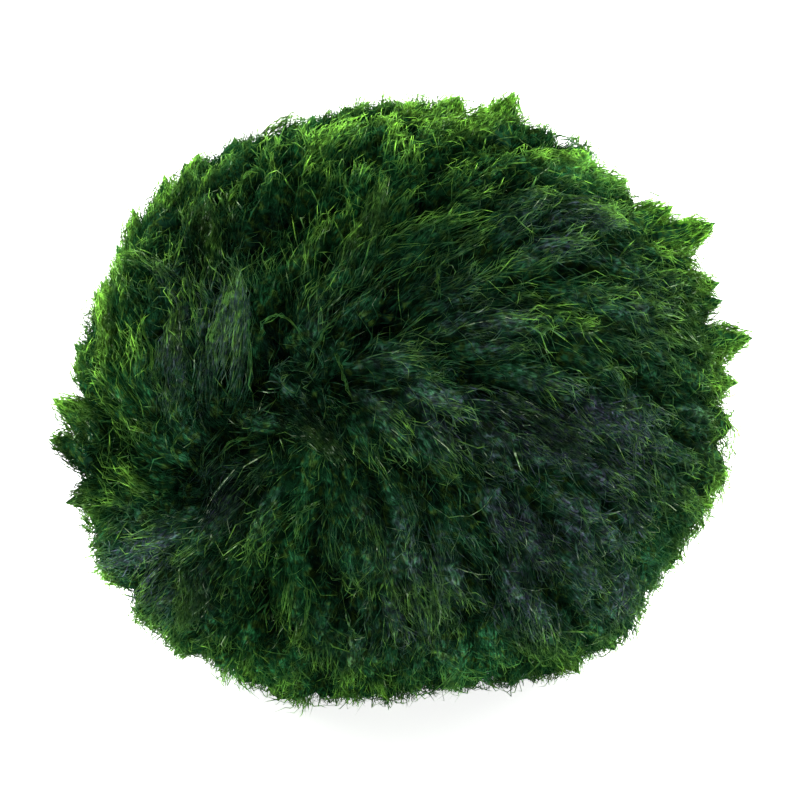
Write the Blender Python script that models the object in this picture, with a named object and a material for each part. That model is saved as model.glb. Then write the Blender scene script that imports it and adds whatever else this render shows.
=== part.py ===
"""A marimo moss ball: one ball of green alga, grown as one piece, with the locks of its fur.

The ball rests on a small flat spot. The origin is at the bottom centre, +Z is up and -Y is the front.
"""
import itertools
import math

import bmesh
import bpy
from mathutils import Matrix, Vector, noise

MM = 0.001

# Driving sizes of the body, without the locks that stand out of it
BODY_WIDTH = 47.8 * MM
BODY_DEPTH = 49.4 * MM
BODY_HEIGHT = 45.2 * MM
FOOT_CUT = 1.9 * MM  # how much of the round underside the ball's weight presses flat
FULLNESS = 2.2  # 2 is an ellipsoid, and more fills out its shoulders
BODY_SUBDIVISIONS = 5

# Relief of the matted body: round lumps, and ridges that run with the fur
LUMP_SIZE = 10.0 * MM
LUMP_HEIGHT = 0.7 * MM
RIDGE_WIDTH = 4.6 * MM
RIDGE_LENGTH = 15.0 * MM
RIDGE_HEIGHT = 1.1 * MM

# The front of the ball is what is seen from -Y and a little above
VIEW_TILT = math.radians(15.0)
VIEW = Vector((0.0, -math.cos(VIEW_TILT), math.sin(VIEW_TILT)))
VIEW_UP = Vector((0.0, math.sin(VIEW_TILT), math.cos(VIEW_TILT)))
VIEW_RIGHT = Vector((1.0, 0.0, 0.0))

# Swellings of the body: clock and turn of the middle in degrees, reach in degrees, height
SWELLINGS = (
    (212, 10, 30, 1.0 * MM),
    (310, 10, 26, 0.7 * MM),
    (138, 5, 30, 0.4 * MM),
    (284, 15, 16, -1.3 * MM),
    (100, 10, 24, -0.4 * MM),
    (46, 5, 20, -0.5 * MM),
    (334, 8, 16, -0.6 * MM),
    (20, 0, 26, 0.5 * MM),
    (60, -55, 36, 0.8 * MM),
    (200, -50, 34, 0.7 * MM),
    (320, -60, 30, -0.6 * MM),
)

# The fur lies away from the middle of each whorl: clock and turn in degrees, and its twist
FRONT_WHORL = (147, 72)
FRONT_TWIST = math.radians(-20.0)
BACK_WHORL = (20, -70)
BACK_TWIST = math.radians(25.0)
WHORLS_MEET_AT = math.radians(112.0)  # from the front whorl
WHORLS_BLEND_OVER = math.radians(16.0)

# Locks round the rim, as seen from the front: clock of the tip and heading of the lock in degrees
# (0 is right, 90 is up), then how far the tip is from the ball's middle
RIM_LOCKS = (
    (3, 0, 26.7 * MM),
    (10, 8, 28.0 * MM),
    (17, 12, 26.6 * MM),
    (21, 16, 26.9 * MM),
    (29, 22, 28.1 * MM),
    (35, 30, 26.4 * MM),
    (44, 45, 25.2 * MM),
    (52, 55, 24.5 * MM),
    (60, 62, 24.8 * MM),
    (67, 66, 25.1 * MM),
    (78, 66, 24.4 * MM),
    (91, 85, 23.6 * MM),
    (106, 95, 23.3 * MM),
    (121, 100, 24.6 * MM),
    (128, 98, 24.7 * MM),
    (135, 103, 25.2 * MM),
    (143, 104, 25.5 * MM),
    (150, 112, 24.8 * MM),
    (157, 118, 25.2 * MM),
    (169, 132, 25.5 * MM),
    (179, 150, 26.7 * MM),
    (186, 168, 27.4 * MM),
    (197, 190, 26.9 * MM),
    (211, 208, 27.3 * MM),
    (222, 224, 26.2 * MM),
    (229, 232, 26.3 * MM),
    (240, 244, 25.1 * MM),
    (304, 306, 25.6 * MM),
    (314, 312, 25.4 * MM),
    (324, 320, 24.9 * MM),
    (333, 325, 25.1 * MM),
    (341, 328, 26.2 * MM),
    (347, 335, 26.5 * MM),
    (355, 345, 26.0 * MM),
)
RIM_TURNS = tuple(math.radians(turn) for turn in (6.0, 1.0, 9.0, -3.0, 4.0))
RIM_LEAN = math.radians(38.0)  # how far they lean away from the viewer
RIM_LOCK_LENGTH = 9.5 * MM
RIM_LOCK_WIDTH = 5.4 * MM

# Locks over the rest of the ball, spread evenly by the golden angle
SPREAD_LOCKS = 72  # before those that would be in the way are left out
SPREAD_LOCK_LENGTH = 11.5 * MM
SPREAD_LOCK_WIDTH = 6.6 * MM
SPREAD_LOCK_RISE = 1.3 * MM
RIM_CLEARANCE = math.radians(9.0)
FOOT_CLEARANCE = 5.0 * MM  # no spread lock comes lower than this

LOCK_SIDES = 6
LOCK_RINGS = (0.4, 0.72)
LOCK_THICKNESS = 0.55  # of its width
LOCK_FULLNESS = 1.6  # 1 is a plain cone
ROOT_DEPTH = 1.8 * MM

MOSS_GREEN = (0.020, 0.075, 0.018, 1.0)


def seen_at(clock, turn):
    """Direction that is seen at a clock angle on the rim, turned towards the viewer by another."""
    along_rim = math.cos(clock) * VIEW_RIGHT + math.sin(clock) * VIEW_UP
    return (math.cos(turn) * along_rim + math.sin(turn) * VIEW).normalized()


def seen_at_degrees(clock, turn):
    return seen_at(math.radians(clock), math.radians(turn))


def back_share(way):
    """How much of the fur's lie at a direction the back whorl sets, from 0 to 1."""
    past = (way.angle(seen_at_degrees(*FRONT_WHORL)) - WHORLS_MEET_AT) / WHORLS_BLEND_OVER
    return 1 / (1 + math.exp(-3 * past))


def ridge(way):
    """Height, from about -1 to 1, of the ridges that run along the fur at a direction."""
    front, back = seen_at_degrees(*FRONT_WHORL), seen_at_degrees(*BACK_WHORL)
    share = back_share(way)
    height = 0.0
    for whorl, twist, weight in ((front, FRONT_TWIST, 1 - share), (back, BACK_TWIST, share)):
        away = min(max(way.angle(whorl), 0.05), math.pi - 0.05)
        side = whorl.cross(VIEW_UP).normalized()
        # The fur runs in a spiral that crosses every line away from the whorl at its twist
        wind = math.tan(twist) * math.log(math.tan(away / 2))
        round_it = math.atan2(way.dot(side), way.dot(side.cross(whorl))) - wind
        across = BODY_WIDTH / 2 / RIDGE_WIDTH
        along = away * BODY_WIDTH / 2 / RIDGE_LENGTH
        spot = Vector((across * math.cos(round_it), across * math.sin(round_it), along))
        height += weight * noise.noise(spot)
    return height


def body_radius(way):
    """Distance from the ball's middle to the body's surface in a direction."""
    halves = (BODY_WIDTH / 2, BODY_DEPTH / 2, BODY_HEIGHT / 2)
    total = sum(abs(part / half) ** FULLNESS for part, half in zip(way, halves))
    radius = total ** (-1 / FULLNESS)
    for clock, turn, reach, height in SWELLINGS:
        away = way.angle(seen_at_degrees(clock, turn)) / math.radians(reach)
        radius += height * math.exp(-away * away)
    radius += LUMP_HEIGHT * noise.noise(way * (BODY_WIDTH / 2 / LUMP_SIZE))
    return radius + RIDGE_HEIGHT * ridge(way)


def away_from(whorl, way, twist):
    """Tangent at a direction that leads away from a whorl, turned by its twist."""
    tangent = (way * way.dot(whorl) - whorl).normalized()
    return Matrix.Rotation(twist, 3, way) @ tangent


def combing(way):
    """Tangent along which the fur lies at a direction."""
    front, back = seen_at_degrees(*FRONT_WHORL), seen_at_degrees(*BACK_WHORL)
    share = back_share(way)
    from_front = away_from(front, way, FRONT_TWIST)
    from_back = away_from(back, way, BACK_TWIST)
    return (from_front * (1 - share) + from_back * share).normalized()


def new_object(name, mesh, collection, parent):
    made = bpy.data.objects.new(name, mesh)
    collection.objects.link(made)
    made.parent = parent
    return made


def make_body():
    """Mesh of the squashed, lumpy ball, around its own middle."""
    bm = bmesh.new()
    bmesh.ops.create_icosphere(bm, subdivisions=BODY_SUBDIVISIONS, radius=1.0)
    for vert in bm.verts:
        way = vert.co.normalized()
        vert.co = way * body_radius(way)
    mesh = bpy.data.meshes.new("moss_ball")
    bm.to_mesh(mesh)
    bm.free()
    return mesh


def make_lock(name, root, knee, tip, width):
    """Mesh of one lock: a flat-sided cone, swept along the curve from its root past its knee to its tip."""
    bm = bmesh.new()
    bmesh.ops.create_cone(bm, cap_ends=True, segments=LOCK_SIDES, radius1=1.0, radius2=0.0, depth=1.0)
    bmesh.ops.translate(bm, verts=bm.verts, vec=(0, 0, 0.5))
    for height in LOCK_RINGS:
        everything = bm.verts[:] + bm.edges[:] + bm.faces[:]
        bmesh.ops.bisect_plane(bm, geom=everything, plane_co=(0, 0, height), plane_no=(0, 0, 1))
    for vert in bm.verts:
        along = min(max(vert.co.z, 0.0), 1.0)
        middle = root * (1 - along) ** 2 + knee * 2 * along * (1 - along) + tip * along**2
        heading = ((knee - root) * (1 - along) + (tip - knee) * along).normalized()
        side = heading.cross(middle).normalized()
        outward = side.cross(heading).normalized()
        # A cone thins evenly, and a lock stays full for longer before it comes to its point
        fuller = (1 - along**LOCK_FULLNESS) / (1 - along) if along < 1 else 0.0
        flat = vert.co * (fuller * width / 2)
        vert.co = middle + side * flat.x + outward * (flat.y * LOCK_THICKNESS)
    bmesh.ops.recalc_face_normals(bm, faces=bm.faces)
    mesh = bpy.data.meshes.new(name)
    bm.to_mesh(mesh)
    bm.free()
    return mesh


def rim_lock(name, turn, clock, heading, reach):
    """Lock whose tip is seen on the rim at a clock angle, pointing along a heading."""
    tip = seen_at(math.radians(clock), turn) * reach
    angle = math.radians(heading)
    seen_along = math.cos(angle) * VIEW_RIGHT + math.sin(angle) * VIEW_UP
    along = math.cos(RIM_LEAN) * seen_along - math.sin(RIM_LEAN) * VIEW
    knee = tip - along * (RIM_LOCK_LENGTH / 2)
    start = (tip - along * RIM_LOCK_LENGTH).normalized()
    root = start * (body_radius(start) - ROOT_DEPTH)
    return make_lock(name, root, knee, tip, RIM_LOCK_WIDTH)


def spread_curve(way):
    """Root, knee and tip of a lock that lies along the fur, with its tip lifted off the body."""
    root = way * (body_radius(way) - ROOT_DEPTH)
    over = (root + combing(way) * SPREAD_LOCK_LENGTH).normalized()
    tip = over * (body_radius(over) + SPREAD_LOCK_RISE)
    half_way = (root + tip).normalized()
    knee = half_way * (body_radius(half_way) + SPREAD_LOCK_RISE)
    return root, knee, tip


def spread_curves():
    """Curves of the locks spread over the ball, clear of the rim's locks and of the foot."""
    golden_angle = math.pi * (3 - math.sqrt(5))
    lowest = FOOT_CLEARANCE - (BODY_HEIGHT / 2 - FOOT_CUT)
    for step in range(SPREAD_LOCKS):
        height = 1 - (2 * step + 1) / SPREAD_LOCKS
        level = math.sqrt(1 - height * height)
        turn = step * golden_angle
        way = Vector((level * math.cos(turn), level * math.sin(turn), height))
        off_rim = abs(math.asin(way.dot(VIEW)) - RIM_TURNS[0])
        curve = spread_curve(way)
        if off_rim > RIM_CLEARANCE and min(point.z for point in curve) > lowest:
            yield curve


def make_locks(collection, seat):
    """Every lock as an object of its own, ready to be fused to the body."""
    turns = itertools.cycle(RIM_TURNS)
    meshes = [
        rim_lock(f"rim_lock_{n}", turn, *row)
        for n, (row, turn) in enumerate(zip(RIM_LOCKS, turns))
    ]
    meshes += [
        make_lock(f"spread_lock_{n}", *curve, SPREAD_LOCK_WIDTH)
        for n, curve in enumerate(spread_curves())
    ]
    for mesh in meshes:
        lock = new_object(mesh.name, mesh, collection, seat)
        lock.hide_render = True
        lock.display_type = "WIRE"


def make_floor_cutter(collection):
    """Block under the ball that takes off what its weight presses flat."""
    side, depth = 2 * BODY_WIDTH, 20 * MM
    bpy.ops.mesh.primitive_cube_add(size=1, location=(0, 0, -depth / 2))
    cutter = bpy.context.object
    cutter.name = "floor_cutter"
    cutter.scale = (side, side, depth)
    for other in cutter.users_collection:
        other.objects.unlink(cutter)
    collection.objects.link(cutter)
    cutter.hide_render = True
    cutter.display_type = "WIRE"
    return cutter


def moss_material():
    material = bpy.data.materials.new("moss_green")
    material.use_nodes = True
    shader = material.node_tree.nodes["Principled BSDF"]
    shader.inputs["Base Color"].default_value = MOSS_GREEN
    shader.inputs["Roughness"].default_value = 0.7
    shader.inputs["Metallic"].default_value = 0.0
    material.diffuse_color = MOSS_GREEN
    return material


def centre_over_origin(ball, seat):
    """Moves the seat sideways until the finished ball's box is centred over the origin."""
    bpy.context.view_layer.update()
    finished = ball.evaluated_get(bpy.context.evaluated_depsgraph_get())
    corners = [finished.matrix_world @ Vector(corner) for corner in finished.bound_box]
    for axis in (0, 1):
        places = [corner[axis] for corner in corners]
        seat.location[axis] -= (min(places) + max(places)) / 2


def main():
    for old in list(bpy.data.objects):
        bpy.data.objects.remove(old, do_unlink=True)
    model = bpy.data.collections.new("marimo_moss_ball")
    locks = bpy.data.collections.new("locks")
    cutters = bpy.data.collections.new("cutters")
    for collection in (model, locks, cutters):
        bpy.context.scene.collection.children.link(collection)

    seat = bpy.data.objects.new("seat", None)
    model.objects.link(seat)
    seat.location = (0, 0, BODY_HEIGHT / 2 - FOOT_CUT)

    ball = new_object("moss_ball", make_body(), model, seat)
    ball.data.materials.append(moss_material())
    make_locks(locks, seat)

    fuse = ball.modifiers.new("fuse_locks", "BOOLEAN")
    fuse.operation = "UNION"
    fuse.solver = "EXACT"
    fuse.operand_type = "COLLECTION"
    fuse.collection = locks
    rest = ball.modifiers.new("flat_foot", "BOOLEAN")
    rest.operation = "DIFFERENCE"
    rest.solver = "EXACT"
    rest.object = make_floor_cutter(cutters)
    centre_over_origin(ball, seat)


main()
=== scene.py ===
"""Looks of a marimo moss ball: the fur of a grown ball of green alga, on a pale studio floor."""
import logging
import math
from dataclasses import dataclass, field
from enum import Enum
from typing import ClassVar, TypeVar

import bmesh
import bpy
import numpy as np
from mathutils import Matrix, Vector, noise


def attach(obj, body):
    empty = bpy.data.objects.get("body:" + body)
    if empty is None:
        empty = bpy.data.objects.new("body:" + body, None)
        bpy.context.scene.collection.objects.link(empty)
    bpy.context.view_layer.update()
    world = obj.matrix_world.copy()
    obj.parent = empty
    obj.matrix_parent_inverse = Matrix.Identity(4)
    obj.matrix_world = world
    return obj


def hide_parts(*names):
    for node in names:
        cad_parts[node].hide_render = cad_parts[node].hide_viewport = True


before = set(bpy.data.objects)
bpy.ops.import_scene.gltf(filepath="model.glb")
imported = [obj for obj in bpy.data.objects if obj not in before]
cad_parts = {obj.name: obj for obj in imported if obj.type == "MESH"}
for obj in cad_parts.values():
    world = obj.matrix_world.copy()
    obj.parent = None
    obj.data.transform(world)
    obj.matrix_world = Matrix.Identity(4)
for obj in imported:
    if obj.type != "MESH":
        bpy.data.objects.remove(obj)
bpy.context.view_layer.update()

MM = 0.001
BODY = "root"
NODE = "moss_ball"
UV_MARGIN = 0.12

Array = np.ndarray
Span = tuple[float, float]
Place = tuple[float, float, float]
Colour = tuple[float, float, float]
Kind = TypeVar("Kind")

log = logging.getLogger("marimo")


def table(kind: type[Kind], *rows: tuple) -> tuple[Kind, ...]:
    """One record of a kind for each row of values."""
    return tuple(kind(*row) for row in rows)


def unit(vectors: Array) -> Array:
    """Vectors of length one along the last axis."""
    return vectors / np.maximum(np.linalg.norm(vectors, axis=-1, keepdims=True), 1e-12)


def smooth_step(values: Array, low: float, high: float) -> Array:
    """Values eased from 0 at low to 1 at high."""
    share = np.clip((values - low) / (high - low), 0.0, 1.0)
    return share * share * (3 - 2 * share)


def angle_from(ways: Array, way: Array) -> Array:
    """Angle between each direction and another one, or each of several that stand in columns."""
    return np.arccos(np.clip(ways @ way, -1, 1))


def noise_at(points: Array, size: float, seed: float) -> Array:
    """Smooth noise at each point.

    Args:
        points: places, one row of three each.
        size: distance between one bump and the next, in the units of the places.
        seed: shift that gives another pattern.

    Returns:
        One number a place, from about -1 to 1.
    """
    return np.array([noise.noise(place) for place in (points / size + seed).tolist()])


@dataclass(frozen=True)
class Viewpoint:
    """Where the ball is seen from, and where a place in the picture falls on the ball."""

    tilt: float = math.radians(15.0)
    lens: float = 100.0
    sensor: float = 36.0
    distance: float = 172.2 * MM
    aim: Place = (0.15 * MM, 0.0, 20.7 * MM)
    picture: float = 800.0

    @property
    def pixel(self) -> float:
        """Width that one pixel shows, a metre away."""
        return self.sensor / self.lens / self.picture

    @property
    def towards(self) -> Array:
        """Direction from the ball to the viewer."""
        return np.array((0.0, -math.cos(self.tilt), math.sin(self.tilt)))

    @property
    def up(self) -> Array:
        """Direction that is up in the picture."""
        return np.array((0.0, math.sin(self.tilt), math.cos(self.tilt)))

    @property
    def right(self) -> Array:
        """Direction that is to the right in the picture."""
        return np.array((1.0, 0.0, 0.0))

    @property
    def place(self) -> Array:
        """Where the camera stands."""
        return np.array(self.aim) + self.towards * self.distance

    def heading(self, degrees: float) -> Array:
        """Direction in the plane of the picture, 0 to the right and 90 up."""
        angle = math.radians(degrees)
        return math.cos(angle) * self.right + math.sin(angle) * self.up

    def seen_at(self, clock: float, turn: float) -> Array:
        """Direction that is seen at a clock angle on the rim, turned towards the viewer by another.

        Args:
            clock: angle round the rim in degrees, 0 to the right and 90 up.
            turn: angle towards the viewer in degrees.

        Returns:
            The direction from the ball's middle.
        """
        out = math.radians(turn)
        return math.cos(out) * self.heading(clock) + math.sin(out) * self.towards

    def way_to(self, across: float, down: float, middle: Array, radius: float) -> Array:
        """Direction from the ball's middle to what a place in the picture shows.

        Args:
            across: pixels from the picture's left edge.
            down: pixels from its top edge.
            middle: the ball's middle.
            radius: the ball's radius there.

        Returns:
            The direction, on the rim where the place is outside the ball.
        """
        half, pixel = self.picture / 2, self.pixel
        ray = (across - half) * pixel * self.right - (down - half) * pixel * self.up - self.towards
        ray = ray / np.linalg.norm(ray)
        start = self.place - middle
        nearest = -start @ ray
        gap = start @ start - nearest * nearest
        depth = math.sqrt(max(radius * radius - gap, 0.0))
        return unit(start + ray * (nearest - depth))


@dataclass(frozen=True)
class Whorl:
    """Point that the fur lies away from, in a spiral."""

    clock: float
    turn: float
    twist: float
    calm: float = math.radians(10.0)

    def way(self, view: Viewpoint) -> Array:
        """Direction of the whorl's middle."""
        return view.seen_at(self.clock, self.turn)

    def tangents(self, view: Viewpoint, ways: Array) -> Array:
        """Lie of the fur that this whorl gives at each direction, fading out in its middle."""
        middle = self.way(view)
        away = unit(ways * (ways @ middle)[:, None] - middle)
        angle = math.radians(self.twist)
        calm = smooth_step(angle_from(ways, middle), 0.0, self.calm)
        return calm[:, None] * (away * math.cos(angle) + np.cross(ways, away) * math.sin(angle))


@dataclass(frozen=True)
class BallForm:
    """Form of the matted body: the same sizes as the solid's."""

    view: Viewpoint = Viewpoint()
    middle: Place = (-0.162 * MM, -0.304 * MM, 20.7 * MM)
    width: float = 47.8 * MM
    depth: float = 49.4 * MM
    height: float = 45.2 * MM
    fullness: float = 2.2
    lump_size: float = 10.0 * MM
    lump_height: float = 0.7 * MM
    ridge_width: float = 4.6 * MM
    ridge_length: float = 15.0 * MM
    ridge_height: float = 1.1 * MM
    ridges_start: float = 0.05
    swellings: tuple[tuple[float, float, float, float], ...] = (
        (212, 10, 30, 1.0 * MM),
        (310, 10, 26, 0.7 * MM),
        (138, 5, 30, 0.4 * MM),
        (284, 15, 16, -1.3 * MM),
        (100, 10, 24, -0.4 * MM),
        (46, 5, 20, -0.5 * MM),
        (334, 8, 16, -0.6 * MM),
        (20, 0, 26, 0.5 * MM),
        (60, -55, 36, 0.8 * MM),
        (200, -50, 34, 0.7 * MM),
        (320, -60, 30, -0.6 * MM),
    )
    front: Whorl = Whorl(147, 72, -20.0)
    back: Whorl = Whorl(20, -70, 25.0)
    whorls_meet_at: float = math.radians(112.0)
    whorls_blend_over: float = math.radians(16.0)

    def back_share(self, ways: Array) -> Array:
        """How much of the fur's lie the back whorl sets, from 0 to 1."""
        angle = angle_from(ways, self.front.way(self.view))
        past = (angle - self.whorls_meet_at) / self.whorls_blend_over
        return 1 / (1 + np.exp(-3 * past))

    def whorl_lies(self, ways: Array) -> Array:
        """Lie of the fur that the two whorls together give at each direction."""
        share = self.back_share(ways)[:, None]
        lies = self.front.tangents(self.view, ways) * (1 - share)
        return lies + self.back.tangents(self.view, ways) * share

    def ridges(self, ways: Array) -> Array:
        """Height of the ridges that run along the fur, from about -1 to 1."""
        share = self.back_share(ways)
        height = np.zeros(len(ways))
        for whorl, weight in ((self.front, 1 - share), (self.back, share)):
            middle = whorl.way(self.view)
            away = np.clip(angle_from(ways, middle), self.ridges_start, math.pi - self.ridges_start)
            side = unit(np.cross(middle, self.view.up))
            wind = math.tan(math.radians(whorl.twist)) * np.log(np.tan(away / 2))
            round_it = np.arctan2(ways @ side, ways @ np.cross(side, middle)) - wind
            across = self.width / 2 / self.ridge_width
            along = away * self.width / 2 / self.ridge_length
            spots = np.stack([across * np.cos(round_it), across * np.sin(round_it), along], 1)
            height += weight * noise_at(spots, 1.0, 0.0)
        return height

    def radius(self, ways: Array) -> Array:
        """Distance from the ball's middle to the body's surface in each direction."""
        halves = np.array((self.width, self.depth, self.height)) / 2
        total = (np.abs(ways / halves) ** self.fullness).sum(1)
        found = total ** (-1 / self.fullness)
        for clock, turn, reach, height in self.swellings:
            angle = angle_from(ways, self.view.seen_at(clock, turn))
            found += height * np.exp(-((angle / math.radians(reach)) ** 2))
        found += self.lump_height * noise_at(ways * self.width / 2, self.lump_size, 0.0)
        return found + self.ridge_height * self.ridges(ways)

    @property
    def mean_radius(self) -> float:
        """Rounded size of the ball, for angles from lengths."""
        return (self.width + self.depth + self.height) / 6

    def seen_way(self, across: float, down: float, rise: float = 0.0) -> Array:
        """Direction from the middle to the place on the surface that the picture shows.

        Args:
            across: pixels from the picture's left edge.
            down: pixels from its top edge.
            rise: height of the place above the body.

        Returns:
            The direction.
        """
        radius = self.mean_radius
        for _ in range(3):
            way = self.view.way_to(across, down, np.array(self.middle), radius)
            radius = self.radius(way[None])[0] + rise
        return way


@dataclass(frozen=True)
class CombMark:
    """Lie of the fur at a place in the picture: pixels across and down, and heading in degrees."""

    across: float
    down: float
    heading: float


COMB_MARKS = table(
    CombMark,
    (110, 300, 100), (130, 230, 98), (160, 400, 95), (180, 300, 95), (170, 220, 92), (210, 250, 88),
    (230, 180, 85), (70, 430, 150), (85, 380, 140), (95, 340, 112), (75, 500, 185), (110, 450, 130),
    (110, 560, 205), (160, 600, 225), (200, 540, 235), (150, 520, 190), (230, 640, 262),
    (300, 660, 270), (380, 670, 275), (440, 650, 280), (260, 520, 265), (330, 560, 270),
    (300, 450, 250), (400, 560, 290), (480, 600, 300), (560, 620, 302), (500, 500, 303),
    (620, 600, 305), (600, 520, 315), (670, 540, 320), (700, 480, 325), (650, 440, 325),
    (600, 400, 335), (700, 400, 340), (640, 330, 350), (720, 340, 360), (570, 330, 340),
    (600, 260, 360), (680, 250, 375), (560, 200, 365), (650, 210, 385), (600, 180, 395),
    (520, 130, 415), (550, 160, 405), (500, 200, 410), (450, 250, 410), (430, 130, 415),
    (400, 200, 420), (470, 110, 422), (380, 130, 75), (350, 180, 80), (300, 150, 88),
    (260, 160, 92), (330, 250, 80), (420, 300, 40), (480, 320, 20), (520, 400, 330),
    (430, 400, 320), (380, 370, 360), (350, 300, 60), (290, 300, 95), (250, 300, 95),
    (240, 380, 110), (200, 440, 130), (240, 450, 200), (380, 450, 300),
)


@dataclass
class Combing:
    """Lie of the fur all over the ball: marks read from the front, and the two whorls elsewhere."""

    form: BallForm
    marks: tuple[CombMark, ...] = COMB_MARKS
    reach: float = math.radians(12.0)
    whorl_weight: float = 0.10
    slope: float = 0.42
    most_offset: float = 0.65
    least_facing: float = 0.05
    agreement: Span = (0.15, 0.75)
    ways: Array = field(init=False)
    lies: Array = field(init=False)

    def __post_init__(self) -> None:
        """Turns each mark into a direction from the ball's middle and a tangent that looks like it.

        The fur rises as it runs, which bends what is seen outwards. The tangent is turned back.
        """
        view = self.form.view
        self.ways = np.array([self.form.seen_way(mark.across, mark.down) for mark in self.marks])
        headings = np.array([view.heading(mark.heading) for mark in self.marks])
        across = np.cross(view.towards, headings)
        tilt = (across * self.ways).sum(1)
        side = unit(across - tilt[:, None] * self.ways)
        offset = -self.slope * tilt / np.sqrt(np.maximum(1 - tilt**2, self.least_facing))
        offset = np.clip(offset, -self.most_offset, self.most_offset)[:, None]
        along = np.cross(side, self.ways)
        along *= np.sign((along * headings).sum(1))[:, None]
        self.lies = along * np.sqrt(1 - offset**2) + side * offset

    def mean_lies(self, ways: Array) -> Array:
        """Mean of the marks and whorls round each direction: shorter where they don't agree."""
        weight = np.exp(-((angle_from(ways, self.ways.T) / self.reach) ** 2))
        lies = weight @ self.lies + self.whorl_weight * self.form.whorl_lies(ways)
        lies /= weight.sum(1)[:, None] + self.whorl_weight
        return lies - (lies * ways).sum(1)[:, None] * ways

    def tangents(self, ways: Array) -> Array:
        """Lie of the fur at each direction, as a tangent of length one."""
        return unit(self.mean_lies(ways))

    def steadiness(self, ways: Array) -> Array:
        """How well the marks round each direction agree: 0 in a whorl's middle, 1 away from it."""
        return smooth_step(np.linalg.norm(self.mean_lies(ways), axis=1), *self.agreement)

    def wandering(self, ways: Array, size: float, degrees: float) -> Array:
        """Lie of the fur, turned to and fro by smooth noise.

        Args:
            ways: directions from the ball's middle.
            size: distance over which the turn changes.
            degrees: largest turn.

        Returns:
            One tangent of length one for each direction.
        """
        lies = self.tangents(ways)
        turn = math.radians(degrees) * noise_at(ways * self.form.mean_radius, size, 7 + size / MM)
        return turned(ways, lies, turn)


def turned(ways: Array, lies: Array, angles: Array) -> Array:
    """Tangents turned about their directions by an angle each."""
    return lies * np.cos(angles)[:, None] + np.cross(ways, lies) * np.sin(angles)[:, None]


def stepped(ways: Array, lies: Array, lengths: Array) -> Array:
    """Directions reached by going along each tangent by an angle each."""
    return ways * np.cos(lengths)[:, None] + lies * np.sin(lengths)[:, None]


def store_numbers(mesh: bpy.types.Mesh, **numbers: Array) -> None:
    """Stores numbers on the vertices of a mesh, under their names."""
    for label, values in numbers.items():
        layer = mesh.attributes.new(label, "FLOAT", "POINT")
        layer.data.foreach_set("value", np.ascontiguousarray(values, np.float32).ravel())


@dataclass
class Strands:
    """Filaments of the alga, as one curve of points for each and what its colour depends on.

    Attributes:
        points: places along each filament, root first: filament, point, axis.
        widths: half thickness at each point between the root and the sharp tip.
        light: how far out of the fur each point is, from 0 at the core to 1 at the outermost tips,
            which sets how much painted light and shade it gets.
        tint: how light each filament is, from 0 to 1.
        sheen: how strong the painted sheen on each filament is, from 0 to 1.
        tone: how many times lighter or darker each filament is than elsewhere: partly its tone,
            partly painted light and shade.
    """

    points: Array
    widths: Array
    light: Array
    tint: Array
    slate: Array
    tone: Array

    def chosen(self, keep: Array) -> "Strands":
        """The filaments that a mask or a slice keeps."""
        return Strands(*(getattr(self, name)[keep] for name in self.__dataclass_fields__))


def tube_faces(rings: int, sides: int) -> tuple[list[list[int]], list[list[Span]]]:
    """Faces of one tube with two sharp ends.

    Args:
        rings: rings of corners between its ends.
        sides: sides of the tube.

    Returns:
        The vertices of each face, and their places in the tube's strip of the map, from 0 to 1.
    """
    faces, places = [], []
    levels = np.arange(rings + 2) / (rings + 1)
    last = (rings - 1) * sides
    root, tip = rings * sides, rings * sides + 1
    for corner in range(sides):
        after = (corner + 1) % sides
        left, centre, right = corner / sides, (corner + 0.5) / sides, (corner + 1) / sides
        faces.append([root, corner, after])
        places.append([(centre, levels[0]), (left, levels[1]), (right, levels[1])])
        for ring in range(rings - 1):
            here, there = ring * sides, (ring + 1) * sides
            low, high = levels[ring + 1], levels[ring + 2]
            faces.append([here + corner, there + corner, there + after, here + after])
            places.append([(left, low), (left, high), (right, high), (right, low)])
        faces.append([last + corner, tip, last + after])
        places.append([(left, levels[-2]), (centre, levels[-1]), (right, levels[-2])])
    return faces, places


def lay_strips(mesh: bpy.types.Mesh, count: int, places: Array) -> None:
    """Gives a mesh of tubes its map, with a strip of its own for each tube.

    Args:
        mesh: the mesh.
        count: number of its tubes.
        places: places of a tube's face corners in its strip.
    """
    columns = math.ceil(math.sqrt(count * 2))
    cell = np.array((1 / columns, 1 / math.ceil(count / columns)))
    corner = np.stack([np.arange(count) % columns, np.arange(count) // columns], 1) * cell
    inside = UV_MARGIN + (1 - 2 * UV_MARGIN) * places
    spread = corner[:, None] + inside[None] * cell
    mesh.uv_layers.new(name="OFBake").uv.foreach_set("vector", spread.astype(np.float32).ravel())


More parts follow.
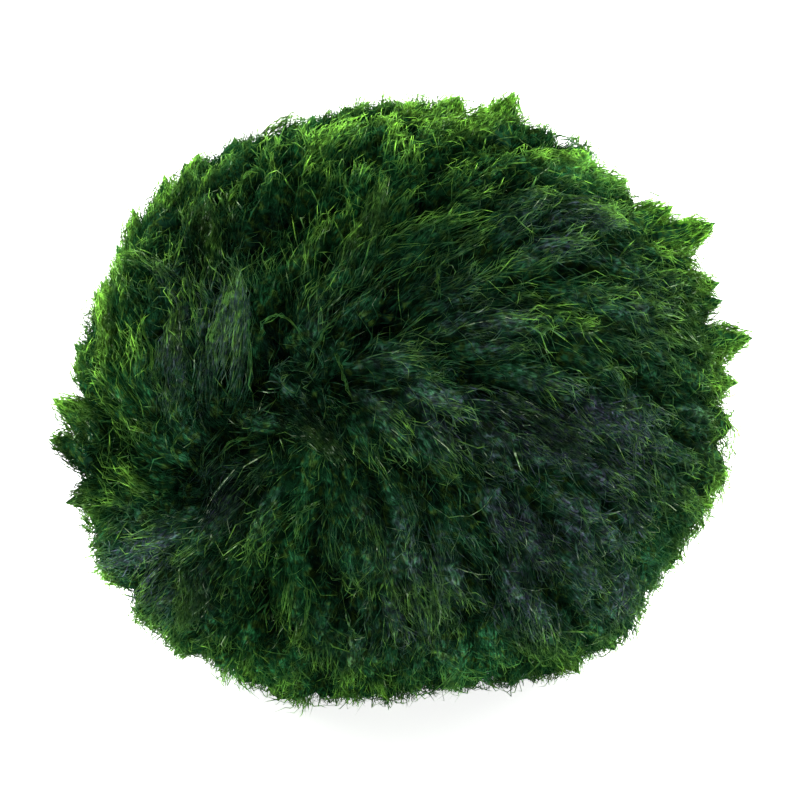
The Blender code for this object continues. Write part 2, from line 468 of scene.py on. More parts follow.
def strand_mesh(
    name: str, strands: Strands, middle: Array, sides: int = 3, height: float = 1.0
) -> bpy.types.Mesh:
    """Joins filaments into one mesh of closed tubes with two sharp ends.

    Args:
        name: the mesh's name.
        strands: the filaments.
        middle: the ball's middle, which the tubes' ridges face away from.
        sides: sides of a tube.
        height: height of a tube in parts of its width.

    Returns:
        A mesh with the attributes light, tint, slate and tone, and a map.
    """
    count, rows = strands.points.shape[:2]
    rings = rows - 2
    inner = strands.points[:, 1:-1]
    heading = unit(strands.points[:, 2:] - strands.points[:, :-2])
    outward = unit(inner - middle)
    side = unit(np.cross(heading, outward))
    rise = np.cross(side, heading)
    angles = math.pi / 2 + np.arange(sides) * 2 * math.pi / sides
    spokes = (
        side[:, :, None] * np.cos(angles)[None, None, :, None]
        + rise[:, :, None] * height * np.sin(angles)[None, None, :, None]
    )
    corners = inner[:, :, None] + spokes * strands.widths[:, :, None, None]
    corners = corners.reshape(count, rings * sides, 3)
    corners[..., 2] = np.maximum(corners[..., 2], 0.0)
    ends = strands.points[:, (0, -1)]
    verts = np.concatenate([corners, ends], axis=1)
    per_strand = rings * sides + 2

    faces, places = tube_faces(rings, sides)
    pattern = np.concatenate([np.array(face) for face in faces])
    loops = (np.arange(count)[:, None] * per_strand + pattern).ravel()
    sizes = np.array([len(face) for face in faces])
    starts = np.concatenate([[0], np.cumsum(np.tile(sizes, count))[:-1]])

    mesh = bpy.data.meshes.new(name)
    mesh.vertices.add(count * per_strand)
    mesh.vertices.foreach_set("co", verts.astype(np.float32).ravel())
    mesh.loops.add(len(loops))
    mesh.loops.foreach_set("vertex_index", loops.astype(np.int32))
    mesh.polygons.add(len(starts))
    mesh.polygons.foreach_set("loop_start", starts.astype(np.int32))
    mesh.update(calc_edges=True)
    mesh.shade_smooth()

    along = np.repeat(strands.light[:, 1:-1], sides, axis=1)
    store_numbers(
        mesh,
        light=np.concatenate([along, strands.light[:, (0, -1)]], axis=1),
        tint=np.repeat(strands.tint, per_strand),
        slate=np.repeat(strands.slate, per_strand),
        tone=np.repeat(strands.tone, per_strand),
    )

    lay_strips(mesh, count, np.array([place for face in places for place in face]))
    return mesh


class Socket:
    """Shader value: an output socket or a number, with the sums that shader nodes can do."""

    def __init__(self, sheet: "Sheet", value: object) -> None:
        """Wraps a socket or a number of a sheet."""
        self.sheet = sheet
        self.value = value

    def _sum(self, operation: str, *values: object) -> "Socket":
        """A Math node on numbers."""
        return self.sheet.node("ShaderNodeMath", {"operation": operation}, *values)

    def __add__(self, other: object) -> "Socket":
        """Sum, from either side."""
        return self._sum("ADD", self, other)

    def __sub__(self, other: object) -> "Socket":
        """Difference."""
        return self._sum("SUBTRACT", self, other)

    def __rsub__(self, other: object) -> "Socket":
        """Difference from a number."""
        return self._sum("SUBTRACT", other, self)

    def __mul__(self, other: object) -> "Socket":
        """Product, from either side."""
        return self._sum("MULTIPLY", self, other)

    __radd__ = __add__
    __rmul__ = __mul__


class Sheet:
    """Node sheet of a material or a world."""

    def __init__(self, owner: bpy.types.Material | bpy.types.World) -> None:
        """Empties the owner's node sheet."""
        owner.use_nodes = True
        self.owner = owner
        self.tree = owner.node_tree
        self.tree.nodes.clear()

    def node(
        self, kind: str, settings: dict, *values: object, out: int | str = 0, **named: object
    ) -> Socket:
        """Adds a node.

        Args:
            kind: the node's type.
            settings: attributes of the node, set before its sockets.
            values: values or sockets for its inputs in order, None to leave one as it is.
            out: the output that is given back.
            named: values or sockets for inputs by name, with _ for a space.

        Returns:
            The chosen output.
        """
        made = self.tree.nodes.new(kind)
        for label, setting in settings.items():
            setattr(made, label, setting)
        wanted = [(made.inputs[n], v) for n, v in enumerate(values) if v is not None]
        wanted += [(made.inputs[label.replace("_", " ")], v) for label, v in named.items()]
        for socket, value in wanted:
            if isinstance(value, Socket):
                self.tree.links.new(value.value, socket)
            else:
                socket.default_value = value
        return Socket(self, made.outputs[out] if made.outputs else None)

    def attribute(self, name: str) -> Socket:
        """A number that the mesh carries at each vertex."""
        return self.node("ShaderNodeAttribute", {"attribute_name": name}, out="Fac")

    def ramp(self, value: Socket, low: float, high: float) -> Socket:
        """A number eased from 0 at low to 1 at high."""
        smooth = {"interpolation_type": "SMOOTHSTEP"}
        return self.node("ShaderNodeMapRange", smooth, value, low, high, 0.0, 1.0)

    def noise(
        self, place: Socket, scale: float, detail: float = 1.0, rough: float = 0.5,
        out: int | str = 0,
    ) -> Socket:
        """Noise, as a number or as a colour.

        Args:
            place: where the noise is read.
            scale: bumps in a unit of length.
            detail: how many finer layers it has.
            rough: how strong each finer layer is.
            out: the output that is given back.

        Returns:
            The chosen output.
        """
        settings = {"Scale": scale, "Detail": detail, "Roughness": rough}
        return self.node("ShaderNodeTexNoise", {}, place, out=out, **settings)

    def mix(self, share: Socket, first: Socket | Colour, second: Socket | Colour) -> Socket:
        """A mix of two colours."""
        pair = (one if isinstance(one, Socket) else (*one, 1.0) for one in (first, second))
        unused = [None] * 5
        return self.node("ShaderNodeMix", {"data_type": "RGBA"}, share, *unused, *pair, out=2)

    def sums(self, operation: str, *values: object, **named: object) -> Socket:
        """A Vector Math node."""
        return self.node("ShaderNodeVectorMath", {"operation": operation}, *values, **named)

    def finish(self, shader: Socket, kind: str = "ShaderNodeOutputMaterial") -> bpy.types.ID:
        """Connects the shader to the output and gives back the material or world."""
        self.node(kind, {}, shader)
        return self.owner


@dataclass(frozen=True)
class FilamentFinish:
    """Wet green filament: near black with painted shade deep in the fur, green further out,
    yellow-green at its tip partly by painted light, with painted sheen and painted glints.

    The noises matting, blotch, speckle and yellow are given by how many of their bumps a metre
    holds. A name that ends in _at says from which value to which a colour or a noise comes in.
    """

    # Painted shade: near black deep in the fur.
    deep_shade: Colour = (0.0080, 0.0290, 0.0190)
    green: Colour = (0.0120, 0.0780, 0.0240)
    # Tip colour: partly its own yellow-green, partly painted light where the fur is most exposed.
    tip: Colour = (0.0700, 0.1800, 0.0520)
    # Painted sheen: grey-blue reflection on the wet filaments, in patches and specks.
    slate: Colour = (0.0740, 0.0900, 0.1280)
    # Painted glints: pale specks on a few filaments.
    glint: Colour = (0.3200, 0.4200, 0.2600)
    yellowed: Colour = (0.0600, 0.1150, 0.0120)
    through: Colour = (0.6000, 0.9300, 0.2800)
    most_through: float = 0.95
    matting: float = 2000.0
    blotch: float = 560.0
    speckle: float = 2600.0
    yellow: float = 1750.0
    darkest: float = 0.45
    lightest: float = 1.20
    mottled_at: Span = (0.38, 0.62)
    unblotched: float = 0.84
    blotched: float = 0.3
    untinted: float = 0.75
    tinted: float = 0.45
    green_at: Span = (0.0, 0.5)
    yellow_at: Span = (0.50, 0.66)
    most_yellow: float = 0.6
    tip_at: Span = (0.5, 1.05)
    tip_tint_at: Span = (0.2, 1.1)
    slate_speckle_at: Span = (0.45, 0.62)
    slate_at: Span = (0.2, 0.6)
    slate_ends_at: Span = (0.85, 1.0)
    even_slate: float = 0.4
    speckled_slate: float = 0.79
    slate_elsewhere: float = 0.03
    glint_tint_at: Span = (0.95, 1.0)
    glint_at: Span = (0.4, 0.7)
    glint_speckle_at: Span = (0.52, 0.6)
    through_at: Span = (0.3, 0.95)
    through_in_dark: float = 0.35
    roughness: float = 0.40
    specular: float = 0.0

    def colours(self, sheet: Sheet) -> tuple[Socket, Socket]:
        """Adds the colour of the alga with its painted light, shade, sheen and glints, and how much
        of it lets light through.
        """
        light, tint, slate, tone = map(sheet.attribute, ("light", "tint", "slate", "tone"))
        place = sheet.node("ShaderNodeTexCoord", {}, out="Object")
        speckle = sheet.noise(place, self.speckle)
        matting = sheet.noise(place, self.matting, 2.0)
        blotch = sheet.noise(place, self.blotch)
        yellow = sheet.noise(place, self.yellow)
        # Painted shade: near black deep in the fur, green further out.
        body = sheet.mix(sheet.ramp(light, *self.green_at), self.deep_shade, self.green)
        yellowed = self.most_yellow * sheet.ramp(yellow, *self.yellow_at)
        body = sheet.mix(yellowed, body, self.yellowed)
        # Tips lighter where the fur is exposed: partly painted light.
        tipped = sheet.ramp(light, *self.tip_at) * sheet.ramp(tint, *self.tip_tint_at)
        colour = sheet.mix(tipped, body, self.tip)
        # Painted sheen: grey-blue patches and specks, none deep in the fur or at the tips.
        speckled = sheet.ramp(speckle, *self.slate_speckle_at)
        sheened = (self.slate_elsewhere + self.speckled_slate * slate) * speckled
        sheened = (sheened + self.even_slate * slate) * sheet.ramp(light, *self.slate_at)
        sheened = sheened * (1.0 - sheet.ramp(light, *self.slate_ends_at))
        colour = sheet.mix(sheened, colour, self.slate)
        mottled = sheet.ramp(matting, *self.mottled_at)
        amount = self.darkest + (self.lightest - self.darkest) * mottled
        amount = amount * (self.unblotched + self.blotched * sheet.ramp(blotch, *self.mottled_at))
        tinted = self.untinted + self.tinted * tint
        colour = sheet.sums("SCALE", colour, Scale=tinted * amount * tone)
        # Painted glints: pale specks on a few filaments, where the fur is exposed.
        bright = sheet.ramp(tint, *self.glint_tint_at) * sheet.ramp(light, *self.glint_at)
        bright = bright * sheet.ramp(speckle, *self.glint_speckle_at)
        through = sheet.ramp(light, *self.through_at) * (1.0 - sheened)
        through = through * (self.through_in_dark + (1 - self.through_in_dark) * mottled)
        through = through * sheet.ramp(tone, 0.0, 1.0)
        return sheet.mix(bright, colour, self.glint), self.most_through * through

    def material(self, name: str) -> bpy.types.Material:
        """The finish as a material of this name."""
        sheet = Sheet(bpy.data.materials.new(name))
        colour, through = self.colours(sheet)
        principled = sheet.node(
            "ShaderNodeBsdfPrincipled", {},
            Base_Color=colour, Roughness=self.roughness, Specular_IOR_Level=self.specular,
        )
        lit_through = sheet.node("ShaderNodeBsdfTranslucent", {}, Color=(*self.through, 1.0))
        return sheet.finish(sheet.node("ShaderNodeMixShader", {}, through, principled, lit_through))


@dataclass(frozen=True)
class FeltFinish(FilamentFinish):
    """Matted fur, seen between the loose filaments: threads along it, in the filaments' colours,
    with painted shade between the threads.
    """

    across: float = 6000.0
    along: float = 950.0
    sway: float = 0.22 * MM
    sway_size: float = 1300.0
    threads_at: Span = (0.38, 0.62)
    threads_detail: float = 3.0
    threads_rough: float = 0.65
    shade_between_threads: float = 0.20
    light_on_threads: float = 1.20
    relief: float = 0.12 * MM
    bump: float = 0.8
    roughness: float = 0.6

    def threads(self, sheet: Sheet) -> Socket:
        """Threads that run along the fur, from 0 between them to 1 on them."""
        place = sheet.node("ShaderNodeTexCoord", {}, out="Object")
        sway = sheet.noise(place, self.sway_size, out="Color")
        sway = sheet.sums("SUBTRACT", sway, (0.5, 0.5, 0.5))
        sway = sheet.sums("SCALE", sway, Scale=2 * self.sway)
        spot = sheet.node("ShaderNodeAttribute", {"attribute_name": "spot"}, out="Vector")
        spot = sheet.sums("ADD", spot, sway)
        spot = sheet.sums("MULTIPLY", spot, (self.across, self.along, self.across))
        threads = sheet.noise(spot, 1.0, self.threads_detail, self.threads_rough)
        return sheet.ramp(threads, *self.threads_at)

    def material(self, name: str) -> bpy.types.Material:
        """The finish as a material of this name."""
        sheet = Sheet(bpy.data.materials.new(name))
        colour, _ = self.colours(sheet)
        threads = self.threads(sheet)
        # Painted shade between the threads, painted light on them.
        amount = self.shade_between_threads + (self.light_on_threads - self.shade_between_threads) * threads
        colour = sheet.sums("SCALE", colour, Scale=amount)
        bump = sheet.node(
            "ShaderNodeBump", {}, Height=threads, Strength=self.bump, Distance=self.relief
        )
        return sheet.finish(sheet.node(
            "ShaderNodeBsdfPrincipled", {}, Base_Color=colour, Normal=bump,
            Roughness=self.roughness, Specular_IOR_Level=self.specular,
        ))


@dataclass(frozen=True)
class FloorFinish:
    """Matt white studio floor."""

    white: Colour = (0.92, 0.92, 0.92)
    glow: float = 0.85
    roughness: float = 0.9
    specular: float = 0.1

    def material(self, name: str) -> bpy.types.Material:
        """The finish as a material of this name."""
        sheet = Sheet(bpy.data.materials.new(name))
        return sheet.finish(sheet.node(
            "ShaderNodeBsdfPrincipled", {}, Base_Color=(*self.white, 1.0),
            Roughness=self.roughness, Specular_IOR_Level=self.specular,
            Emission_Color=(1.0, 1.0, 1.0, 1.0), Emission_Strength=self.glow,
        ))


def mesh_from(bm: bmesh.types.BMesh, name: str) -> bpy.types.Mesh:
    """Turns an editable mesh into a stored one."""
    mesh = bpy.data.meshes.new(name)
    bm.to_mesh(mesh)
    bm.free()
    return mesh


def put_in_scene(data: bpy.types.ID) -> bpy.types.Object:
    """Adds a mesh, a lamp or a camera to the scene, as an object at the origin with its name."""
    made = bpy.data.objects.new(data.name, data)
    bpy.context.scene.collection.objects.link(made)
    return made


def dressed(mesh: bpy.types.Mesh, material: bpy.types.Material) -> bpy.types.Object:
    """Adds a mesh to the scene as an object that wears a material."""
    mesh.materials.append(material)
    return put_in_scene(mesh)


def facing(place: Vector, way: Vector) -> Matrix:
    """Where a lamp or a camera stands, and how it is turned, to look one way from a place."""
    return Matrix.Translation(place) @ way.to_track_quat("-Z", "Y").to_matrix().to_4x4()


def register(piece: bpy.types.Object) -> None:
    """Says that a piece rides on the ball's body and stands for its node."""
    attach(piece, BODY)
    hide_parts(NODE)
    log.info("%s: %d faces", piece.name, len(piece.data.polygons))


@dataclass(frozen=True)
class Patch:
    """Patch of fur seen from the front: pixels across and down, reach both ways, and strength."""

    across: float
    down: float
    wide: float
    tall: float
    strength: float


@dataclass
class Patches:
    """Where the fur has painted sheen, is sunk with painted shade, or is lighter: patches seen from
    the front, noise elsewhere.

    Attributes:
        form: the matted body.
        sheens: where it has painted sheen, with strengths from 0 to 1.
        hollows: where it is sunk and darker with painted shade, from 0 to 1.
        lit: where single filaments are lighter, from 0 to 1.
        tones_and_shading: where all of it is lighter or darker, in stops: partly its tone, partly
            painted light and shade, such as painted shade in the hollows.
        levels: where its edge is higher or lower, in millimetres.
    """

    form: BallForm
    # Patches of painted sheen.
    slates: tuple[Patch, ...] = table(
        Patch,
        (215, 325, 26, 70, 0.5), (170, 330, 22, 90, 0.5), (150, 552, 32, 26, 1.0),
        (180, 585, 34, 28, 0.6), (215, 480, 40, 40, 0.8), (560, 225, 70, 40, 0.6),
        (640, 300, 50, 40, 0.4), (480, 330, 60, 36, 0.5), (300, 385, 80, 40, 0.35),
        (400, 385, 60, 40, 0.45), (480, 410, 80, 40, 0.7), (590, 430, 90, 50, 1.0),
        (560, 500, 90, 60, 1.0), (530, 580, 85, 50, 0.8), (610, 590, 45, 36, 0.8),
        (430, 530, 70, 60, 0.6), (400, 620, 60, 36, 0.5), (620, 330, 90, 70, 0.30),
        (440, 300, 60, 50, 0.35), (340, 330, 60, 40, 0.30),
    )
    # Hollows: sunk, with painted shade.
    hollows: tuple[Patch, ...] = table(
        Patch,
        (285, 390, 42, 55, 0.35), (262, 350, 13, 26, 1.0), (272, 392, 12, 16, 1.0),
        (215, 422, 13, 24, 1.0), (232, 457, 15, 15, 1.0), (190, 458, 15, 13, 1.0),
        (205, 485, 28, 18, 1.0), (285, 446, 20, 8, 1.0), (353, 325, 10, 18, 1.0),
        (154, 318, 7, 24, 1.0), (190, 272, 7, 22, 1.0), (156, 374, 6, 24, 0.8),
        (194, 407, 10, 14, 0.8), (478, 160, 22, 14, 0.8), (380, 262, 22, 8, 0.8),
        (480, 418, 24, 10, 0.8), (284, 584, 10, 14, 0.8), (310, 522, 12, 16, 0.7),
        (228, 470, 46, 36, 0.35), (320, 350, 40, 28, 0.5), (455, 500, 46, 28, 0.5),
        (255, 235, 60, 30, 0.5), (425, 255, 46, 26, 0.4), (330, 490, 26, 36, 0.4),
        (690, 420, 22, 28, 0.4),
    )
    lit: tuple[Patch, ...] = table(
        Patch,
        (370, 190, 60, 40, 0.6), (470, 150, 40, 40, 0.5), (320, 440, 24, 28, 0.4),
        (462, 455, 24, 20, 0.7), (225, 522, 24, 26, 0.6), (290, 570, 30, 40, 0.6),
        (110, 330, 26, 60, 0.6), (540, 310, 60, 30, 0.4), (640, 300, 60, 50, 0.4),
    )
    # Lighter or darker patches: partly tone, partly painted light and shade.
    tones_and_shading: tuple[Patch, ...] = table(
        Patch,
        (240, 325, 22, 50, 1.6), (380, 195, 40, 28, 1.2), (240, 160, 20, 20, 0.7),
        (332, 140, 40, 28, 1.0), (590, 172, 30, 24, 1.2), (535, 275, 34, 24, 0.8),
        (690, 315, 34, 50, -1.0), (490, 375, 42, 24, 0.8), (374, 376, 32, 16, -1.4),
        (436, 372, 26, 16, 0.8), (191, 272, 9, 24, -1.5), (262, 352, 16, 30, -1.0),
        (262, 392, 26, 30, -0.8), (215, 430, 28, 24, -1.1), (206, 486, 42, 30, -2.0),
        (288, 447, 24, 10, -1.2), (353, 326, 12, 20, -1.0), (240, 560, 40, 40, -0.9),
        (250, 615, 36, 26, -0.8), (86, 468, 46, 34, -2.2), (178, 460, 14, 20, 2.0),
        (150, 492, 16, 12, 0.8), (332, 455, 24, 22, 0.5), (480, 530, 34, 24, 0.8),
        (530, 548, 36, 26, -0.8), (470, 440, 60, 26, -0.5), (715, 440, 24, 40, -0.2),
        (480, 668, 50, 20, 1.4), (545, 672, 24, 16, -0.6), (290, 668, 40, 18, 0.6),
        (225, 215, 60, 45, -0.35), (490, 432, 70, 20, -0.9), (450, 308, 50, 18, -0.9),
        (345, 288, 34, 20, 0.8), (460, 282, 28, 14, 0.5), (255, 308, 24, 18, -1.4),
        (240, 368, 18, 16, -0.5), (325, 248, 24, 18, -0.9), (420, 194, 20, 16, -0.5),
        (390, 190, 16, 16, 0.6), (512, 522, 24, 20, -1.2), (668, 482, 50, 28, -0.9),
        (470, 595, 36, 30, -0.8), (448, 640, 24, 18, -0.6), (250, 160, 26, 18, 0.7),
        (482, 160, 20, 14, -0.8), (600, 555, 30, 20, -0.8), (225, 668, 36, 18, 1.1),
        (657, 555, 14, 30, 0.8), (150, 556, 26, 20, 0.7),
    )
    levels: tuple[Patch, ...] = table(
        Patch,
        (748, 345, 14, 14, 0.6), (50, 430, 16, 16, 0.8), (78, 388, 14, 14, 0.5),
        (125, 235, 30, 40, -1.0), (150, 190, 30, 30, -1.0), (190, 160, 30, 26, -1.2),
        (240, 130, 36, 26, -0.9), (290, 112, 36, 24, -1.2), (75, 345, 22, 30, -0.4),
        (560, 135, 30, 24, -0.4), (490, 692, 46, 26, -1.1), (155, 645, 30, 26, -0.4),
        (728, 430, 34, 50, 1.5), (722, 492, 26, 26, 1.3), (708, 262, 26, 28, 1.1),
        (500, 100, 24, 22, 0.5), (98, 575, 24, 26, 0.4), (635, 620, 24, 24, 0.4),
        (712, 240, 20, 18, 0.8), (720, 288, 20, 20, 0.9), (735, 372, 22, 22, 0.6),
        (100, 276, 18, 20, 0.4), (112, 592, 26, 20, 0.4), (512, 104, 20, 16, 0.4),
    )
    elsewhere: float = 0.6
    patch_size: float = 9 * MM
    patch_edge: Span = (0.05, 0.5)
    unevenness: float = 0.8
    uneven_size: float = 5 * MM
    unseen_stops: float = -0.35
    seen_edge: float = 0.15

    def offsets(self, patches: tuple[Patch, ...], ways: Array) -> Array:
        """How near each direction is to each patch's middle, from 0 to 1: a column a patch."""
        view, radius = self.form.view, self.form.mean_radius
        pixel = view.pixel * view.distance
        near = []
        for patch in patches:
            off = ways * radius - self.form.seen_way(patch.across, patch.down) * radius
            across = (off @ view.right) / (patch.wide * pixel)
            down = (off @ view.up) / (patch.tall * pixel)
            near.append(np.exp(-(across**2) - down**2))
        return np.stack(near, 1)

    def seen(self, ways: Array) -> Array:
        """How well the picture shows each direction, from 0 to 1."""
        return smooth_step(ways @ self.form.view.towards, -self.seen_edge, self.seen_edge)

    def tone(self, ways: Array) -> Array:
        """How many times lighter or darker the fur is at each direction: partly its tone, partly
        painted light and shade.
        """
        stops = self.offsets(self.tones_and_shading, ways) @ [patch.strength for patch in self.tones_and_shading]
        seen = self.seen(ways)
        uneven = noise_at(ways * self.form.mean_radius, self.uneven_size, 43.0)
        unseen = self.unseen_stops + self.unevenness * uneven
        return 2.0 ** (stops * seen + unseen * (1 - seen))

    def level(self, ways: Array) -> Array:
        """How much higher or lower than elsewhere the fur's edge is at each direction."""
        strengths = np.array([patch.strength for patch in self.levels]) * MM
        return self.offsets(self.levels, ways) @ strengths * self.seen(ways)

    def sunk(self, ways: Array) -> Array:
        """How sunk the fur is at each direction and how dark with painted shade, from 0 to 1."""
        return self.strength(self.hollows, ways, 17.0)

    def lightened(self, ways: Array) -> Array:
        """How much lighter than elsewhere the fur is at each direction, from 0 to 1."""
        return self.strength(self.lit, ways, 29.0)

    def sheened(self, ways: Array) -> Array:
        """How strong the painted sheen on the fur is at each direction, from 0 to 1."""
        return self.strength(self.slates, ways, 31.0)

    def strength(self, patches: tuple[Patch, ...], ways: Array, seed: float) -> Array:
        """How strong a kind of patch is at each direction.

        Args:
            patches: the patches of this kind.
            ways: directions from the ball's middle.
            seed: shift of the noise that takes over on the sides that the picture doesn't show.

        Returns:
            A number from 0 to 1 for each direction.
        """
        places, seen = ways * self.form.mean_radius, self.seen(ways)
        found = self.offsets(patches, ways) * [patch.strength for patch in patches]
        found = found.max(axis=1) * seen
        noisy = smooth_step(noise_at(places, self.patch_size, seed), *self.patch_edge)
        found += (1 - seen) * self.elsewhere * noisy
        return np.clip(found, 0, 1)


class Side(Enum):
    """Half of the ball that a piece of fur covers."""

    FRONT = 1
    BACK = -1

    def mask(self, strands: Strands, middle: Array) -> Array:
        """Which filaments have their root on this half."""
        return (strands.points[:, 0, 1] - middle[1]) * self.value < 0


@dataclass
class FurMaker:
    """What every kind of fur on the ball shares.

    Attributes:
        form: the matted body.
        combing: the lie of the fur.
        patches: where it has painted sheen, is sunk with painted shade, or is lighter.
        rng: source of all random draws.
        glints: share of the filaments that glint.
        palest: tint of the lightest of the others.
        sunk_depth: how far the fur sinks in a hollow.
        floor_levels: levels over the floor for what is lifted off it, in millimetres.
        outermost: heights between which a filament passes from inside the fur to outside it.
        calm_shortens: how much shorter filaments are in a whorl's middle.
        calm_turns: spread of their turn there, in radians.
    """

    form: BallForm
    combing: Combing
    patches: Patches
    rng: np.random.Generator
    glints: ClassVar[float] = 0.07
    palest: ClassVar[float] = 0.93
    sunk_depth: ClassVar[float] = 0.7 * MM
    floor_levels: ClassVar[Span] = (0.08, 0.5)
    outermost: ClassVar[Span] = (0.2 * MM, 1.4 * MM)
    calm_shortens: ClassVar[float] = 0.3
    calm_turns: ClassVar[float] = 2.5

    @property
    def middle(self) -> Array:
        """The ball's middle."""
        return np.array(self.form.middle)

    def spread(self, count: int, jitter: float) -> Array:
        """Directions spread evenly over the ball.

        Args:
            count: how many.
            jitter: how far each is moved at random, in parts of their distance.

        Returns:
            The directions.
        """
        steps = np.arange(count)
        height = 1 - (2 * steps + 1) / count
        level = np.sqrt(1 - height**2)
        turn = steps * math.pi * (3 - math.sqrt(5))
        ways = np.stack([level * np.cos(turn), level * np.sin(turn), height], 1)
        gap = math.sqrt(4 * math.pi / count)
        return unit(ways + self.rng.normal(0, jitter * gap, ways.shape))

    def traced(
        self, ways: Array, lengths: Array, rows: int,
        size: float, degrees: float, own: float, curl: float = 0.0,
    ) -> Array:
        """Paths over the ball that follow the lie of the fur, or any way in a whorl's middle.

        Args:
            ways: direction that each path starts at.
            lengths: length of each.
            rows: points on each.
            size: distance over which the fur's lie wanders.
            degrees: how far it wanders.
            own: spread of the turn that each path has of its own, in degrees.
            curl: spread of the further turn that it takes at each point, in degrees.

        Returns:
            Directions: path, point, axis.
        """
        step = lengths / (rows - 1) / self.form.mean_radius
        calm = 1 - self.combing.steadiness(ways)
        step *= 1 - self.calm_shortens * calm
        turn = self.rng.normal(0, 1, len(ways)) * (math.radians(own) + self.calm_turns * calm)
        path = [ways]
        for _ in range(rows - 1):
            lies = self.combing.wandering(path[-1], size, degrees)
            path.append(stepped(path[-1], turned(path[-1], lies, turn), step))
            turn = turn + self.rng.normal(0, math.radians(curl), len(ways))
        return np.stack(path, 1)

    def over_body(self, ways: Array, heights: Array) -> Array:
        """Places at heights above the body's surface: ways is filament, point, axis."""
        flat = ways.reshape(-1, 3)
        radius = self.form.radius(flat) + heights.ravel()
        places = self.middle + flat * radius[:, None]
        return places.reshape(ways.shape)

    def kept_off_floor(self, points: Array) -> Array:
        """Places lifted if they would be under the floor, each filament to a level of its own."""
        lowest = self.rng.uniform(*self.floor_levels, (len(points), 1)) * MM
        points[..., 2] = np.maximum(points[..., 2], lowest)
        return points

    def grown(
        self, points: Array, heights: Array, reach: Array, tint: Array,
        half_width: float, shade: Array | float = 1.0,
    ) -> Strands:
        """Filaments from their curves.

        Args:
            points: places along each filament: filament, point, axis.
            heights: height of each point over the body.
            reach: how far along its wisp each point is, from 0 to 1.
            tint: how light each filament is, from 0 to 1.
            half_width: half thickness of a filament.
            shade: what is left of the light at each filament.

        Returns:
            The filaments, darker with painted shade in hollows, and with painted sheen or lighter
            in patches.
        """
        count, rows = heights.shape
        ways = unit(points[:, 0] - self.middle)
        size = half_width * np.exp(self.rng.uniform(-0.5, 0.5, count))
        widths = size[:, None] * np.linspace(1, 0.75, rows - 2)
        patches = self.patches
        sunk, lit = patches.sunk(ways), patches.lightened(ways)
        slate = np.clip(patches.sheened(ways) * self.rng.uniform(0.3, 1.6, count), 0, 1)
        # Painted light and shade: darker deeper in the fur, towards the root and in the hollows.
        light = exposed(heights) * (0.70 + 0.30 * reach) * (1 - 0.4 * sunk)[:, None]
        light = np.maximum(light, 0.95 * exposed(heights, *self.outermost))
        # Darker tint in the hollows: painted shade.
        tint = tint + 0.18 * lit * self.rng.uniform(0, 1, count) - 0.15 * sunk
        tint = np.clip(tint, 0, self.palest)
        tint[self.rng.uniform(0, 1, count) < self.glints] = 1.0
        points = self.kept_off_floor(points)
        return Strands(points, widths, light, tint, slate, patches.tone(ways) * shade)

    def sinking(self, ways: Array) -> Array:
        """How far the fur is sunk at each direction: in the hollows, and where its edge is low."""
        return self.sunk_depth * self.patches.sunk(ways) - self.patches.level(ways)


def exposed(heights: Array, deep_shade: float = -1.9 * MM, top: float = 0.7 * MM) -> Array:
    """How far out of the fur a height above the body is, from 0 to 1: the painted light there, 0 in
    deep shade.
    """
    return np.clip((heights - deep_shade) / (top - deep_shade), 0, 1)


@dataclass
class Nearby:
    """What the clumps give at each direction.

    Attributes:
        clump: number of the clump that each direction belongs to.
        level: how high the fur stands there.
        lightness: how light it is there, from 0 to 1: partly its tone, partly painted shade towards
            a clump's edge and painted light on higher clumps.
        shade: what is left of the light there: less in the gaps between the clumps.
        spot: place in the clump: across it, along it, and a number of the clump's own.
    """

    clump: Array
    level: Array
    lightness: Array
    shade: Array
    spot: Array


